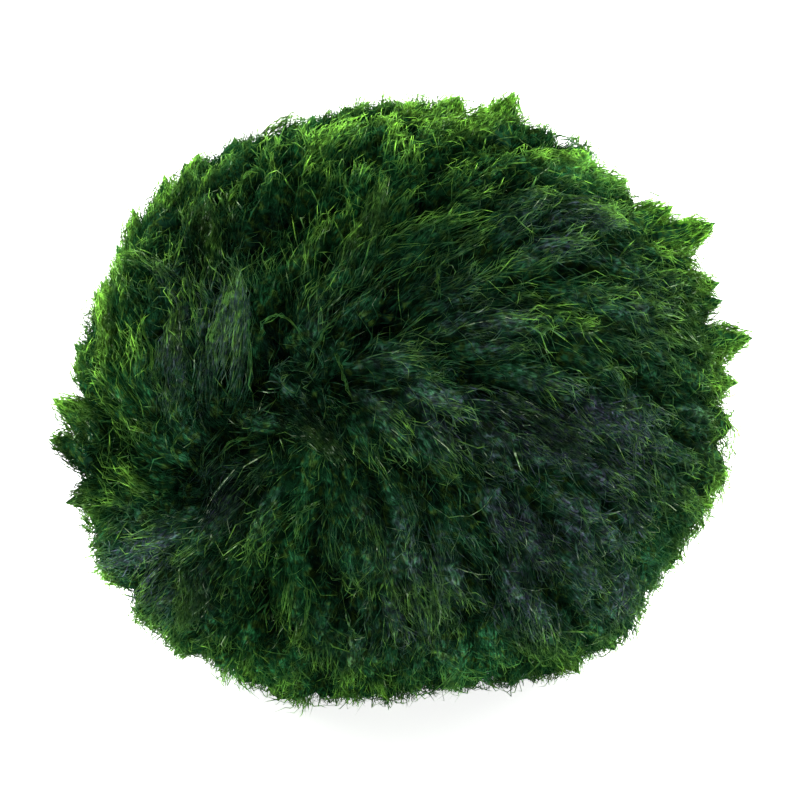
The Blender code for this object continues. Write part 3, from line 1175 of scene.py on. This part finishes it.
@dataclass
class Clumps(FurMaker):
    """Clumps that the fur gathers in: the path of each, how high it stands and how light it is."""

    count: int = 1000
    rows: int = 4
    length: float = 2.8 * MM
    length_share: Span = (0.7, 1.35)
    wander_size: float = 6 * MM
    wander: float = 24.0
    own: float = 9.0
    jitter: float = 0.4
    pulls: Span = (0.55, 0.95)
    drawn_out: float = 1.7
    lift: float = 0.30 * MM
    edge: float = 0.55
    level_at: float = 1.0 * MM
    edge_shade: float = 0.20
    gap_starts: float = 0.9 * MM
    gap_ends: float = 1.9 * MM
    gap_shade: float = 0.40
    patch_size: float = 7.0 * MM
    streak_size: float = 0.75 * MM
    streak_lift: float = 0.22 * MM
    chunk: int = 4000
    ways: Array = field(init=False)
    lies: Array = field(init=False)
    lengths: Array = field(init=False)
    paths: Array = field(init=False)
    pull: Array = field(init=False)
    lifts: Array = field(init=False)
    tints: Array = field(init=False)

    def __post_init__(self) -> None:
        """Lays out the clumps."""
        rng, count = self.rng, self.count
        self.ways = self.spread(count, self.jitter)
        self.lies = self.combing.wandering(self.ways, self.wander_size, self.wander)
        self.lengths = self.length * rng.uniform(*self.length_share, count)
        self.paths = self.traced(
            self.ways, self.lengths, self.rows, self.wander_size, self.wander, self.own
        )
        self.pull = rng.uniform(*self.pulls, count)
        self.lifts = rng.normal(0, self.lift, count)
        patches = noise_at(self.ways * self.form.mean_radius, self.patch_size, 71.0)
        # Painted light: higher clumps are lighter.
        tints = rng.uniform(0, 1, count) + 0.5 * patches + 0.18 * self.lifts / self.lift
        self.tints = np.clip(tints, 0, 1)

    def nearest(self, ways: Array) -> tuple[Array, Array]:
        """Clump nearest to each direction and the place in it: they are longer along the fur."""
        radius = self.form.mean_radius
        sides = np.cross(self.ways, self.lies)
        along = (ways @ self.lies.T) * radius
        across = (ways @ sides.T) * radius
        behind = ways @ self.ways.T < 0
        away = (along / self.drawn_out) ** 2 + (across * self.drawn_out) ** 2
        away += 4 * radius**2 * behind
        clump = np.argmin(away, axis=1)
        row = np.arange(len(ways))
        return clump, np.stack([across[row, clump], along[row, clump]], 1)

    def around(self, ways: Array) -> Nearby:
        """What the clumps give at each direction."""
        starts = range(0, len(ways), self.chunk)
        chunks = [self.nearest(ways[start : start + self.chunk]) for start in starts]
        clump, spot = (np.concatenate(parts) for parts in zip(*chunks))
        off = np.hypot(spot[:, 0] * self.drawn_out, spot[:, 1] / self.drawn_out)
        streak = noise_at(ways * self.form.mean_radius, self.streak_size, 53.0)
        streak = np.clip(1.8 * streak, -1, 1)
        level = self.lifts[clump] - self.edge * (off - self.level_at) - self.sinking(ways)
        level = level + self.streak_lift * streak
        lightness = 0.5 * self.tints[clump] + 0.5 * (0.5 + 0.5 * streak)
        # Painted shade towards the clump's edge.
        lightness -= self.edge_shade * (off / MM - 0.8)
        spot = np.concatenate([spot, clump[:, None] * MM], axis=1)
        shade = 1 - self.gap_shade * smooth_step(off, self.gap_starts, self.gap_ends)
        shade *= 0.80 + 0.4 * self.tints[clump]
        return Nearby(clump, level, np.clip(lightness, 0, 1), shade, spot)


@dataclass
class Felt(FurMaker):
    """Matted fur under the loose filaments: it rises in the clumps and sinks between them."""

    clumps: Clumps
    finish: FeltFinish = FeltFinish()
    subdivisions: int = 7
    sink: float = 0.75 * MM
    lowest: float = -2.2 * MM
    share: float = 0.9
    grain_size: float = 0.7 * MM
    grain_height: float = 0.25 * MM
    most_tint: float = 0.9

    def build(self) -> bpy.types.Object:
        """Makes the felt.

        Returns:
            The finished piece.
        """
        form = self.form
        bm = bmesh.new()
        bmesh.ops.create_icosphere(bm, subdivisions=self.subdivisions, radius=1.0)
        ways = unit(np.array([vert.co[:] for vert in bm.verts]))
        near = self.clumps.around(ways)
        grain = noise_at(ways * form.mean_radius, self.grain_size, 5.0)
        heights = self.share * near.level - self.sink + self.grain_height * grain
        heights = np.maximum(heights, self.lowest)
        places = self.middle + ways * (form.radius(ways) + heights)[:, None]
        places[:, 2] = np.maximum(places[:, 2], 0.0)
        for vert, place in zip(bm.verts, places.tolist()):
            vert.co = place
        mesh = mesh_from(bm, "moss_felt")
        mesh.shade_smooth()
        store_numbers(
            mesh, light=exposed(heights), tint=np.clip(near.lightness, 0.0, self.most_tint),
            slate=self.patches.sheened(ways), tone=self.patches.tone(ways) * near.shade,
        )
        spots = mesh.attributes.new("spot", "FLOAT_VECTOR", "POINT")
        spots.data.foreach_set("vector", near.spot.astype(np.float32).ravel())
        return dressed(mesh, self.finish.material("alga_felt"))


@dataclass
class Coat(FurMaker):
    """Coat of matted filaments: wisps that all bend along the fur and gather in clumps."""

    clumps: Clumps
    wisp_count: int = 7200
    per_wisp: int = 5
    rows: int = 4
    half_width: float = 0.037 * MM
    wander_size: float = 1.5 * MM
    wander: float = 50.0
    own: float = 14.0
    curl: float = 38.0
    wisp_spread: float = 0.32 * MM
    frizz: float = 0.21 * MM
    root_height: float = -1.5 * MM
    tip_height: float = 0.4 * MM
    droop: float = 1.1 * MM
    weave: float = 0.24 * MM
    wisp_lift: float = 0.18 * MM
    own_lift: float = 0.15 * MM

    def lay(self) -> tuple[Array, Array, Array, Array]:
        """Lays out the wisps.

        Returns:
            Their paths, the heights of their tips, how light they are, and their shade.
        """
        rng, count = self.rng, self.wisp_count
        ways = self.spread(count, 0.5)
        near = self.clumps.around(ways)
        clump = near.clump
        length = self.clumps.lengths[clump] * rng.uniform(0.7, 1.15, count)
        lie = (self.wander_size, self.wander, self.own, self.curl)
        wisps = self.traced(ways, length, self.rows, *lie)
        share = np.linspace(0, 1, self.rows)[None, :, None]
        gather = self.clumps.pull[clump][:, None, None] * share
        wisps = unit(wisps * (1 - gather) + self.clumps.paths[clump] * gather)
        top = self.tip_height + near.level + rng.normal(0, self.wisp_lift, count)
        tint = 0.85 * near.lightness + 0.15 * rng.uniform(0, 1, count)
        return wisps, top, tint, near.shade

    def build(self) -> Strands:
        """Makes the coat's filaments.

        Returns:
            The filaments of the whole ball.
        """
        rng, radius = self.rng, self.form.mean_radius
        wisps, wisp_top, wisp_tint, wisp_shade = self.lay()
        count = self.wisp_count * self.per_wisp
        wisp = np.repeat(np.arange(self.wisp_count), self.per_wisp)
        share = np.linspace(0, 1, self.rows)
        reach = rng.uniform(0.65, 1.0, count)[:, None] * share
        spot = np.clip(reach * (self.rows - 1), 0, self.rows - 1 - 1e-9)
        low = spot.astype(int)
        part = (spot - low)[..., None]
        row = wisp[:, None]
        ways = wisps[row, low] * (1 - part) + wisps[row, low + 1] * part
        apart = rng.normal(0, self.wisp_spread / radius, (count, 1, 3))
        gather = rng.uniform(0.0, 0.95, count)[:, None, None] * share[None, :, None]
        ways += apart * (1 - gather)
        ways += rng.normal(0, self.frizz / radius, ways.shape) * (0.4 + 0.6 * share)[None, :, None]
        ways = unit(ways)
        top = wisp_top[wisp] + rng.normal(0, self.own_lift, count)
        rise = 1 - (1 - reach) ** 1.7
        heights = self.root_height + (top - self.root_height)[:, None] * rise
        heights -= self.droop * rng.uniform(0, 1, count)[:, None] * smooth_step(reach, 0.45, 1.0)
        heights += rng.normal(0, self.weave, heights.shape) * np.minimum(1, 2 * reach)
        tint = 0.88 * wisp_tint[wisp] + 0.12 * rng.uniform(0, 1, count)
        points = self.over_body(ways, heights)
        return self.grown(points, heights, reach, tint, self.half_width, wisp_shade[wisp])


@dataclass
class ShortFur(FurMaker):
    """Short filaments with a bend of their own: below the coat to fill it, or over it as fuzz."""

    clumps: Clumps
    count: int
    length: float
    half_width: float
    root: Span
    tip: Span
    wander: float
    own: float
    tints: Span
    curl: float = 0.0
    droop: float = 0.0
    weave: float = 0.15 * MM
    wander_size: float = 1.6 * MM
    rows: int = 3

    def build(self) -> Strands:
        """Makes the filaments.

        Returns:
            The filaments of the whole ball.
        """
        rng, count = self.rng, self.count
        roots = self.spread(count, 0.5)
        length = self.length * rng.uniform(0.6, 1.4, count)
        lie = (self.wander_size, self.wander, self.own, self.curl)
        ways = self.traced(roots, length, self.rows, *lie)
        near = self.clumps.around(roots)
        low = near.level + rng.uniform(*self.root, count)
        high = near.level + rng.uniform(*self.tip, count)
        share = np.linspace(0, 1, self.rows)
        heights = low[:, None] + (high - low)[:, None] * (1 - (1 - share) ** 1.8)
        heights -= self.droop * rng.uniform(0, 1, count)[:, None] * smooth_step(share, 0.4, 1.0)
        heights[:, 1:] += rng.normal(0, self.weave, heights[:, 1:].shape)
        tint = 0.75 * near.lightness + 0.25 * rng.uniform(0, 1, count)
        tint = self.tints[0] + (self.tints[1] - self.tints[0]) * tint
        points, reach = self.over_body(ways, heights), np.broadcast_to(share, heights.shape)
        return self.grown(points, heights, reach, tint, self.half_width, near.shade)


@dataclass(frozen=True)
class NamedStrand:
    """Wisp that the picture shows: places in pixels, how light it is, and width in millimetres."""

    places: tuple[Span, ...]
    tint: float
    spread: float


@dataclass
class LooseStrands(FurMaker):
    """Long curly strands, loose on the coat: those the picture shows, and others at random."""

    named: tuple[NamedStrand, ...] = table(
        NamedStrand,
        (((250, 338), (262, 320), (280, 314), (293, 325), (312, 350)), 0.50, 0.03),
        (((342, 304), (326, 330), (313, 348), (300, 374)), 0.75, 0.16),
        (((334, 350), (344, 376), (350, 402)), 0.60, 0.10),
        (((286, 404), (306, 424), (328, 446), (342, 464)), 0.90, 0.20),
        (((280, 428), (298, 428), (316, 438)), 0.70, 0.14),
        (((250, 438), (228, 444), (213, 470)), 0.60, 0.07),
        (((246, 506), (260, 524), (272, 548)), 0.85, 0.08),
        (((272, 550), (274, 566), (266, 578)), 0.60, 0.08),
        (((216, 522), (226, 534), (236, 548)), 0.90, 0.14),
        (((303, 590), (306, 614), (296, 640), (274, 666)), 0.75, 0.11),
        (((342, 618), (352, 632), (366, 647)), 0.55, 0.05),
        (((84, 400), (90, 386), (104, 372)), 0.85, 0.05),
        (((256, 160), (246, 176), (234, 192)), 0.80, 0.07),
        (((566, 305), (556, 318), (540, 338)), 0.85, 0.07),
        (((242, 272), (236, 294), (246, 314), (251, 340), (247, 372), (246, 400)), 0.80, 0.12),
        (((132, 296), (142, 336), (152, 372), (166, 402), (178, 428)), 0.70, 0.09),
        (((180, 428), (172, 448), (176, 472)), 0.75, 0.14),
        (((322, 504), (302, 512), (288, 524)), 0.70, 0.14),
        (((470, 386), (486, 389), (502, 402)), 0.55, 0.07),
        (((478, 182), (460, 194), (448, 202)), 0.80, 0.06),
        (((437, 260), (438, 280), (440, 298)), 0.60, 0.10),
        (((576, 492), (586, 516), (590, 540)), 0.50, 0.04),
        (((372, 520), (378, 545), (384, 575)), 0.55, 0.20),
        (((630, 300), (650, 302), (666, 314)), 0.50, 0.04),
        (((600, 369), (624, 368), (646, 372)), 0.50, 0.06),
        (((412, 374), (436, 379), (462, 385)), 0.50, 0.05),
        (((122, 470), (140, 484), (162, 500)), 0.70, 0.08),
        (((200, 250), (202, 290), (198, 330)), 0.60, 0.08),
    )
    per_named: int = 6
    count: int = 60
    rows: int = 10
    length: float = 4.5 * MM
    half_width: float = 0.028 * MM
    lift: float = 0.35 * MM
    rise: float = 0.3 * MM
    end_depth: float = 0.9 * MM
    weave: float = 0.1 * MM
    frizz: float = 0.07 * MM

    def through(self, strand: NamedStrand) -> Array:
        """Directions along a named strand, evenly rounded between its places."""
        ways = np.array([self.form.seen_way(*place, self.rise) for place in strand.places])
        spots = np.linspace(0, len(ways) - 1, self.rows)
        low = np.minimum(spots.astype(int), len(ways) - 2)
        t = (spots - low)[:, None]
        padded = np.concatenate([2 * ways[:1] - ways[1:2], ways, 2 * ways[-1:] - ways[-2:-1]])
        before, here, there, after = (padded[low + n] for n in range(4))
        return unit(0.5 * (
            2 * here + (there - before) * t
            + (2 * before - 5 * here + 4 * there - after) * t**2
            + (3 * here - before - 3 * there + after) * t**3
        ))

    def curly(self) -> Array:
        """Directions along the random strands."""
        rng, count = self.rng, self.count
        step = self.length * rng.uniform(0.5, 1.3, count) / (self.rows - 1) / self.form.mean_radius
        turn = rng.normal(0, 0.6, count)
        curl = rng.normal(0, 0.10, count)
        path = [self.spread(count, 0.6)]
        lies = self.combing.tangents(path[0])
        for _ in range(self.rows - 1):
            curl += rng.normal(0, 0.08, count)
            turn += curl
            path.append(stepped(path[-1], turned(path[-1], lies, turn), step))
            lies = unit(lies - (lies * path[-1]).sum(1)[:, None] * path[-1])
        return np.stack(path, 1)

    def build(self) -> Strands:
        """Makes the loose strands.

        Returns:
            The strands of the whole ball.
        """
        rng = self.rng
        named = np.repeat([self.through(strand) for strand in self.named], self.per_named, axis=0)
        spread = np.repeat([strand.spread * MM for strand in self.named], self.per_named)
        spread = spread / self.form.mean_radius
        apart = rng.normal(0, 1, (len(named), 2, 3)) * spread[:, None, None]
        share = np.linspace(0, 1, self.rows)[:, None]
        named = unit(named + apart[:, :1] * (1 - share) + apart[:, 1:] * share)
        ways = np.concatenate([named, self.curly()])
        ways = unit(ways + rng.normal(0, self.frizz / self.form.mean_radius, ways.shape))
        count = len(ways)
        share = np.linspace(0, 1, self.rows)
        arch = np.sin(math.pi * share) ** 0.7
        lift = self.lift * rng.uniform(0.4, 1.1, count)
        heights = -self.end_depth + (lift + self.end_depth)[:, None] * arch
        heights += rng.normal(0, self.weave, heights.shape)
        tint = rng.uniform(0.2, 0.7, count)
        tint[: len(named)] = np.repeat([strand.tint for strand in self.named], self.per_named)
        tint *= rng.uniform(0.2, 0.85, count)
        points, reach = self.over_body(ways, heights), np.ones(heights.shape)
        made = self.grown(points, heights, reach, tint, self.half_width)
        made.light = np.clip(made.light, 0.3 + 0.2 * arch, 0.6)
        made.slate *= 0.4
        return made


# Locks of the solid on the rim: where the tip is and where it points, in degrees round the
# picture, and how many millimetres it is from the ball's middle.
RIM_LOCKS = (
    (3, 0, 26.7), (10, 8, 28.4), (17, 12, 26.6), (20, 16, 27.4), (29, 22, 28.5), (35, 30, 26.4),
    (44, 45, 25.2), (52, 55, 24.5), (60, 62, 24.8), (69, 66, 25.9), (78, 66, 24.4), (91, 85, 23.6),
    (106, 95, 23.3), (121, 100, 24.6), (128, 98, 24.7), (135, 103, 25.2), (143, 104, 25.5),
    (150, 112, 24.8), (157, 118, 25.2), (169, 132, 25.5), (179, 150, 26.7), (186, 168, 27.4),
    (197, 190, 26.9), (211, 208, 27.3), (222, 224, 26.2), (229, 232, 26.3), (240, 244, 25.1),
    (304, 306, 25.6), (314, 312, 25.4), (324, 320, 24.9), (333, 325, 25.1), (341, 328, 26.2),
    (347, 335, 26.5), (355, 345, 26.0),
)


@dataclass(frozen=True)
class LaidLock:
    """Lock that the picture shows on the ball: its root, knee and tip in pixels, and its looks.

    Attributes:
        places: root, knee and tip, in pixels across and down.
        width: width at its root in millimetres.
        stops: how much lighter or darker it is than the fur round it, in stops.
        sheen: how strong its painted sheen is, from 0 to 1.
    """

    places: tuple[Span, Span, Span]
    width: float
    stops: float
    slate: float


@dataclass
class Locks(FurMaker):
    """Locks that stand out of the fur, in the form of the solid's: on the rim and all over it."""

    rim: tuple[Place, ...] = RIM_LOCKS
    laid: tuple[LaidLock, ...] = table(
        LaidLock,
        (((214, 420), (226, 345), (240, 262)), 5.0, 0.1, 0.50),
        (((172, 420), (170, 360), (180, 300)), 3.4, -0.5, 0.50),
        (((118, 380), (104, 330), (106, 270)), 3.0, -0.5, 0.0),
        (((340, 300), (368, 240), (390, 165)), 2.8, -0.9, 0.1),
        (((262, 400), (308, 420), (350, 470)), 1.8, -1.2, 0.2),
        (((208, 285), (203, 240), (206, 190)), 2.8, -0.9, 0.1),
        (((200, 560), (190, 600), (178, 640)), 3.0, -0.6, 0.2),
        (((470, 395), (540, 425), (600, 465)), 3.0, -0.9, 0.6),
    )
    laid_heights: Place = (-1.0 * MM, 0.9 * MM, 0.3 * MM)
    laid_thickness: float = 0.22
    rim_turns: tuple[float, ...] = (6.0, 1.0, 9.0, -3.0, 4.0)
    rim_lean: float = math.radians(38.0)
    rim_length: float = 9.5 * MM
    rim_width: float = 5.4 * MM
    spread_count: int = 72
    spread_length: float = 11.5 * MM
    spread_width: float = 6.6 * MM
    spread_rise: float = 1.3 * MM
    spread_settle: float = 0.6 * MM
    spread_stops: float = -0.5
    rim_clearance: float = math.radians(9.0)
    foot_clearance: float = 5.0 * MM
    rim_thickness: float = 0.55
    spread_thickness: float = 0.3
    fullness: float = 1.6
    root_depth: float = 1.8 * MM
    rim_wisps: int = 76
    spread_wisps: int = 18
    per_wisp: int = 5
    rows: int = 4
    wisp_length: Span = (0.30, 0.52)
    wisp_spread: float = 0.35 * MM
    frizz: float = 0.26 * MM
    swing: float = 0.35
    half_width: float = 0.040 * MM
    heart_rows: int = 10
    heart_sides: int = 8
    heart_share: float = 0.74
    heart_height: float = 0.6
    heart_light: float = 0.5
    heart_reach: float = 0.94

    def surface(self, way: Array, rise: float) -> Array:
        """Place over the body in a direction, from the ball's middle."""
        return way * (self.form.radius(way[None])[0] + rise)

    def rim_curve(self, turn: float, clock: float, heading: float, reach: float) -> list[Array]:
        """Root, knee and tip of a lock on the rim, from the ball's middle."""
        view = self.form.view
        tip = view.seen_at(clock, turn) * (reach * MM)
        lean = self.rim_lean
        along = math.cos(lean) * view.heading(heading) - math.sin(lean) * view.towards
        root = self.surface(unit(tip - along * self.rim_length), -self.root_depth)
        return [root, tip - along * (self.rim_length / 2), tip]

    def spread_curve(self, way: Array) -> list[Array]:
        """Root, knee and tip of a lock that lies along the fur, from the ball's middle."""
        form = self.form
        root = self.surface(way, -self.root_depth)
        lie = unit(form.whorl_lies(way[None])[0])
        rise = self.spread_rise - self.spread_settle
        tip = self.surface(unit(root + lie * self.spread_length), rise)
        knee = self.surface(unit(root + tip), rise)
        return [root, knee, tip]

    def laid_curve(self, lock: LaidLock) -> list[Array]:
        """Root, knee and tip of a lock that the picture shows, from the ball's middle."""
        return [
            self.surface(self.form.seen_way(*place, rise), rise)
            for place, rise in zip(lock.places, self.laid_heights)
        ]

    def curves(self) -> list[tuple[list[Array], float, float, int]]:
        """Curve, width, thickness and number of wisps of every lock."""
        found = []
        for number, row in enumerate(self.rim):
            curve = self.rim_curve(self.rim_turns[number % len(self.rim_turns)], *row)
            found.append((curve, self.rim_width, self.rim_thickness, self.rim_wisps))
        for lock in self.laid:
            curve, width = self.laid_curve(lock), lock.width * MM
            found.append((curve, width, self.laid_thickness, self.rim_wisps))
        lowest = self.foot_clearance - self.form.middle[2]
        rim_turn = math.radians(self.rim_turns[0])
        for way in self.spread(self.spread_count, 0.0):
            off_rim = abs(math.asin(way @ self.form.view.towards) - rim_turn)
            curve = self.spread_curve(way)
            if off_rim > self.rim_clearance and min(place[2] for place in curve) > lowest:
                found.append((curve, self.spread_width, self.spread_thickness, self.spread_wisps))
        return found

    def lock(
        self, curve: list[Array], width: float, thickness: float, wisps: int
    ) -> tuple[Array, Array, Array]:
        """Filaments of one lock: wisps that overlap along it and draw together at its tip.

        Args:
            curve: root, knee and tip.
            width: width of the lock at its root.
            thickness: share of that width it stands high.
            wisps: number of wisps.

        Returns:
            Points of the filaments, how far along its wisp each point is, and how light they are.
        """
        rng = self.rng
        root, knee, tip = curve
        count = wisps * self.per_wisp
        wisp = np.repeat(np.arange(wisps), self.per_wisp)
        length = rng.uniform(*self.wisp_length, wisps)
        end = rng.uniform(0.3, 1.0, wisps) ** 0.7
        round_it = rng.uniform(0, 2 * math.pi, wisps)
        swing = rng.normal(0, self.swing, wisps)
        tint = 0.45 * rng.uniform(0, 1) + 0.3 * rng.uniform(0, 1, wisps)[wisp]
        tint = tint + 0.25 * rng.uniform(0, 1, count)

        share = np.linspace(0, 1, self.rows)
        reach = rng.uniform(0.7, 1.0, count)[:, None] * share
        steps = np.clip((end - length)[wisp][:, None] + length[wisp][:, None] * reach, 0, 1)
        t = steps[..., None]
        centre = root * (1 - t) ** 2 + knee * 2 * t * (1 - t) + tip * t**2
        heading = unit((knee - root) * (1 - t) + (tip - knee) * t)
        side = unit(np.cross(heading, centre))
        out = unit(np.cross(side, heading))
        taper = (1 - steps**self.fullness) * width / 2
        angle = round_it[wisp][:, None] + swing[wisp][:, None] * reach
        depth = 0.55 + 0.5 * reach
        apart = rng.normal(0, self.wisp_spread, (count, 2, 1)) * (1 - 0.7 * reach[:, None])
        frizz = rng.normal(0, self.frizz, (count, 2, self.rows)) * (0.4 + 0.6 * share)
        across = np.cos(angle) * depth * taper + apart[:, 0] + frizz[:, 0]
        upward = np.sin(angle) * depth * taper * thickness + apart[:, 1] + frizz[:, 1]
        points = centre + side * across[..., None] + out * upward[..., None]
        return points + self.middle, reach, tint

    def hearts(self) -> Strands:
        """Makes the matted heart of every lock on the rim, a little thinner than its hair.

        Returns:
            One thick strand for each lock, from its root to its tip.
        """
        curves = np.array([curve for curve, *_ in self.curves()[: len(self.rim)]])
        root, knee, tip = (curves[:, None, n] for n in range(3))
        share = np.linspace(0, 1, self.heart_rows)
        t = self.heart_reach * share[None, :, None]
        points = self.middle + root * (1 - t) ** 2 + knee * 2 * t * (1 - t) + tip * t**2
        widths = (1 - share[1:-1] ** self.fullness) * self.rim_width / 2 * self.heart_share
        count = len(points)
        light = np.broadcast_to(self.heart_light * share**0.5, (count, self.heart_rows))
        points = self.kept_off_floor(points)
        widths = np.broadcast_to(widths, (count, len(widths)))
        tint = self.rng.uniform(0.3, 0.7, count)
        tone = self.patches.tone(unit(points[:, -1] - self.middle))
        return Strands(points, widths, light, tint, np.zeros(count), tone)

    def build(self) -> Strands:
        """Makes the filaments of every lock.

        Returns:
            The filaments of the whole ball.
        """
        made = [self.lock(*curve) for curve in self.curves()]
        points, reach, tint = (np.concatenate(parts) for parts in zip(*made))
        ways = unit(points - self.middle).reshape(-1, 3)
        heights = np.linalg.norm(points - self.middle, axis=-1)
        heights -= self.form.radius(ways).reshape(heights.shape)
        fur = self.grown(points, heights, reach, tint, self.half_width)
        per_lock = self.rim_wisps * self.per_wisp
        start = len(self.rim) * per_lock
        for lock in self.laid:
            end = start + per_lock
            fur.tone[start:end] *= 2.0**lock.stops
            fur.slate[start:end] = lock.slate * self.rng.uniform(0.5, 1.5, end - start)
            start = end
        fur.tone[start:] *= 2.0**self.spread_stops
        return fur


@dataclass
class Fur:
    """The whole fur, as pieces that stay small enough to be stored in full."""

    form: BallForm
    finish: FilamentFinish = FilamentFinish()
    seed: int = 9

    def build(self) -> list[bpy.types.Object]:
        """Makes every piece of the fur.

        Returns:
            The finished pieces.
        """
        rng = np.random.default_rng(self.seed)
        shared = (self.form, Combing(self.form), Patches(self.form), rng)
        material = self.finish.material("alga_filament")
        middle = np.array(self.form.middle)
        clumps = Clumps(*shared)
        pieces = [Felt(*shared, clumps).build()]
        under = ShortFur(
            *shared, clumps, count=9000, length=2.6 * MM, half_width=0.060 * MM, wander=50, own=25,
            root=(-1.5 * MM, -1.2 * MM), tip=(-0.6 * MM, 0.1 * MM), tints=(0.0, 0.7),
        )
        fuzz = ShortFur(
            *shared, clumps, count=14000, length=2.3 * MM, half_width=0.034 * MM, wander=40, own=26,
            root=(-1.0 * MM, -0.3 * MM), tip=(-0.2 * MM, 0.4 * MM), tints=(0.1, 0.93),
            curl=26, droop=0.9 * MM, rows=4,
        )
        locks = Locks(*shared)
        sides, height = locks.heart_sides, locks.heart_height
        hearts = strand_mesh("moss_lock_hearts", locks.hearts(), middle, sides, height)
        pieces.append(dressed(hearts, material))
        for label, maker, shares in (
            ("under_coat", under, 1),
            ("coat", Coat(*shared, clumps), 2),
            ("fuzz", fuzz, 1),
            ("locks", locks, 2),
            ("loose", LooseStrands(*shared), 1),
        ):
            strands = maker.build()
            for side in Side:
                half = strands.chosen(side.mask(strands, middle))
                for share in range(shares):
                    name = f"moss_{label}_{side.name.lower()}_{share + 1}"
                    part = half.chosen(slice(share, None, shares))
                    pieces.append(dressed(strand_mesh(name, part, middle), material))
        return pieces


@dataclass(frozen=True)
class SoftLight:
    """Square soft light: where it hangs in metres, its power in watts and its width."""

    name: str
    place: Place
    power: float
    size: float


@dataclass
class Studio:
    """Pale floor, soft lights and the camera."""

    view: Viewpoint
    floor_size: float = 6.0
    back_light: float = 16.0
    front_light: float = 0.18
    front_at: Span = (-0.85, 0.02)
    lights: tuple[SoftLight, ...] = table(
        SoftLight,
        ("top_light", (0.20, 0.12, 0.42), 0.5, 0.35),
        ("low_left_light", (-0.24, 0.14, 0.04), 0.4, 0.10),
        ("low_right_light", (0.24, 0.14, 0.04), 0.3, 0.10),
        ("low_front_light", (0.02, -0.32, 0.03), 0.4, 0.15),
    )
    finish: FloorFinish = FloorFinish()

    def floor(self) -> None:
        """Adds the floor that the ball rests on."""
        bm = bmesh.new()
        bmesh.ops.create_grid(bm, x_segments=1, y_segments=1, size=self.floor_size / 2)
        mesh = mesh_from(bm, "studio_floor")
        dressed(mesh, self.finish.material("studio_white"))

    def lamp(self, soft: SoftLight) -> None:
        """Adds a square soft light that faces the ball."""
        light = bpy.data.lights.new(soft.name, "AREA")
        light.energy, light.size = soft.power, soft.size
        place = Vector(soft.place)
        put_in_scene(light).matrix_world = facing(place, Vector(self.view.aim) - place)

    def world(self) -> None:
        """Gives the white surroundings; their light comes from behind, so that the rim glows."""
        sheet = Sheet(bpy.data.worlds.new("studio_world"))
        way = sheet.node("ShaderNodeTexCoord", {}, out="Generated")
        towards = sheet.sums("DOT_PRODUCT", way, tuple(self.view.towards), out="Value")
        front = sheet.ramp(towards, *self.front_at)
        strength = self.back_light + (self.front_light - self.back_light) * front
        pictured = sheet.node("ShaderNodeLightPath", {}, out="Is Camera Ray")
        strength = strength + (1.0 - strength) * pictured
        ground = sheet.node("ShaderNodeBackground", {}, (1.0, 1.0, 1.0, 1.0), strength)
        bpy.context.scene.world = sheet.finish(ground, "ShaderNodeOutputWorld")

    def camera(self) -> None:
        """Adds the camera at the photograph's viewing angle."""
        data = bpy.data.cameras.new("camera")
        data.lens, data.sensor_width = self.view.lens, self.view.sensor
        data.clip_start, data.clip_end = 0.01, 20.0
        camera = put_in_scene(data)
        camera.matrix_world = facing(Vector(self.view.place), -Vector(self.view.towards))
        bpy.context.scene.camera = camera

    def build(self) -> None:
        """Makes the floor, the lights and the camera."""
        self.floor()
        for light in self.lights:
            self.lamp(light)
        self.world()
        self.camera()
        bpy.context.scene.view_settings.view_transform = "Standard"


def main() -> None:
    """Builds the ball's looks and its studio, and reports each piece."""
    logging.basicConfig(level=logging.INFO, format="%(message)s")
    form = BallForm()
    Studio(form.view).build()
    for piece in Fur(form).build():
        register(piece)


if __name__ == "__main__":
    main()
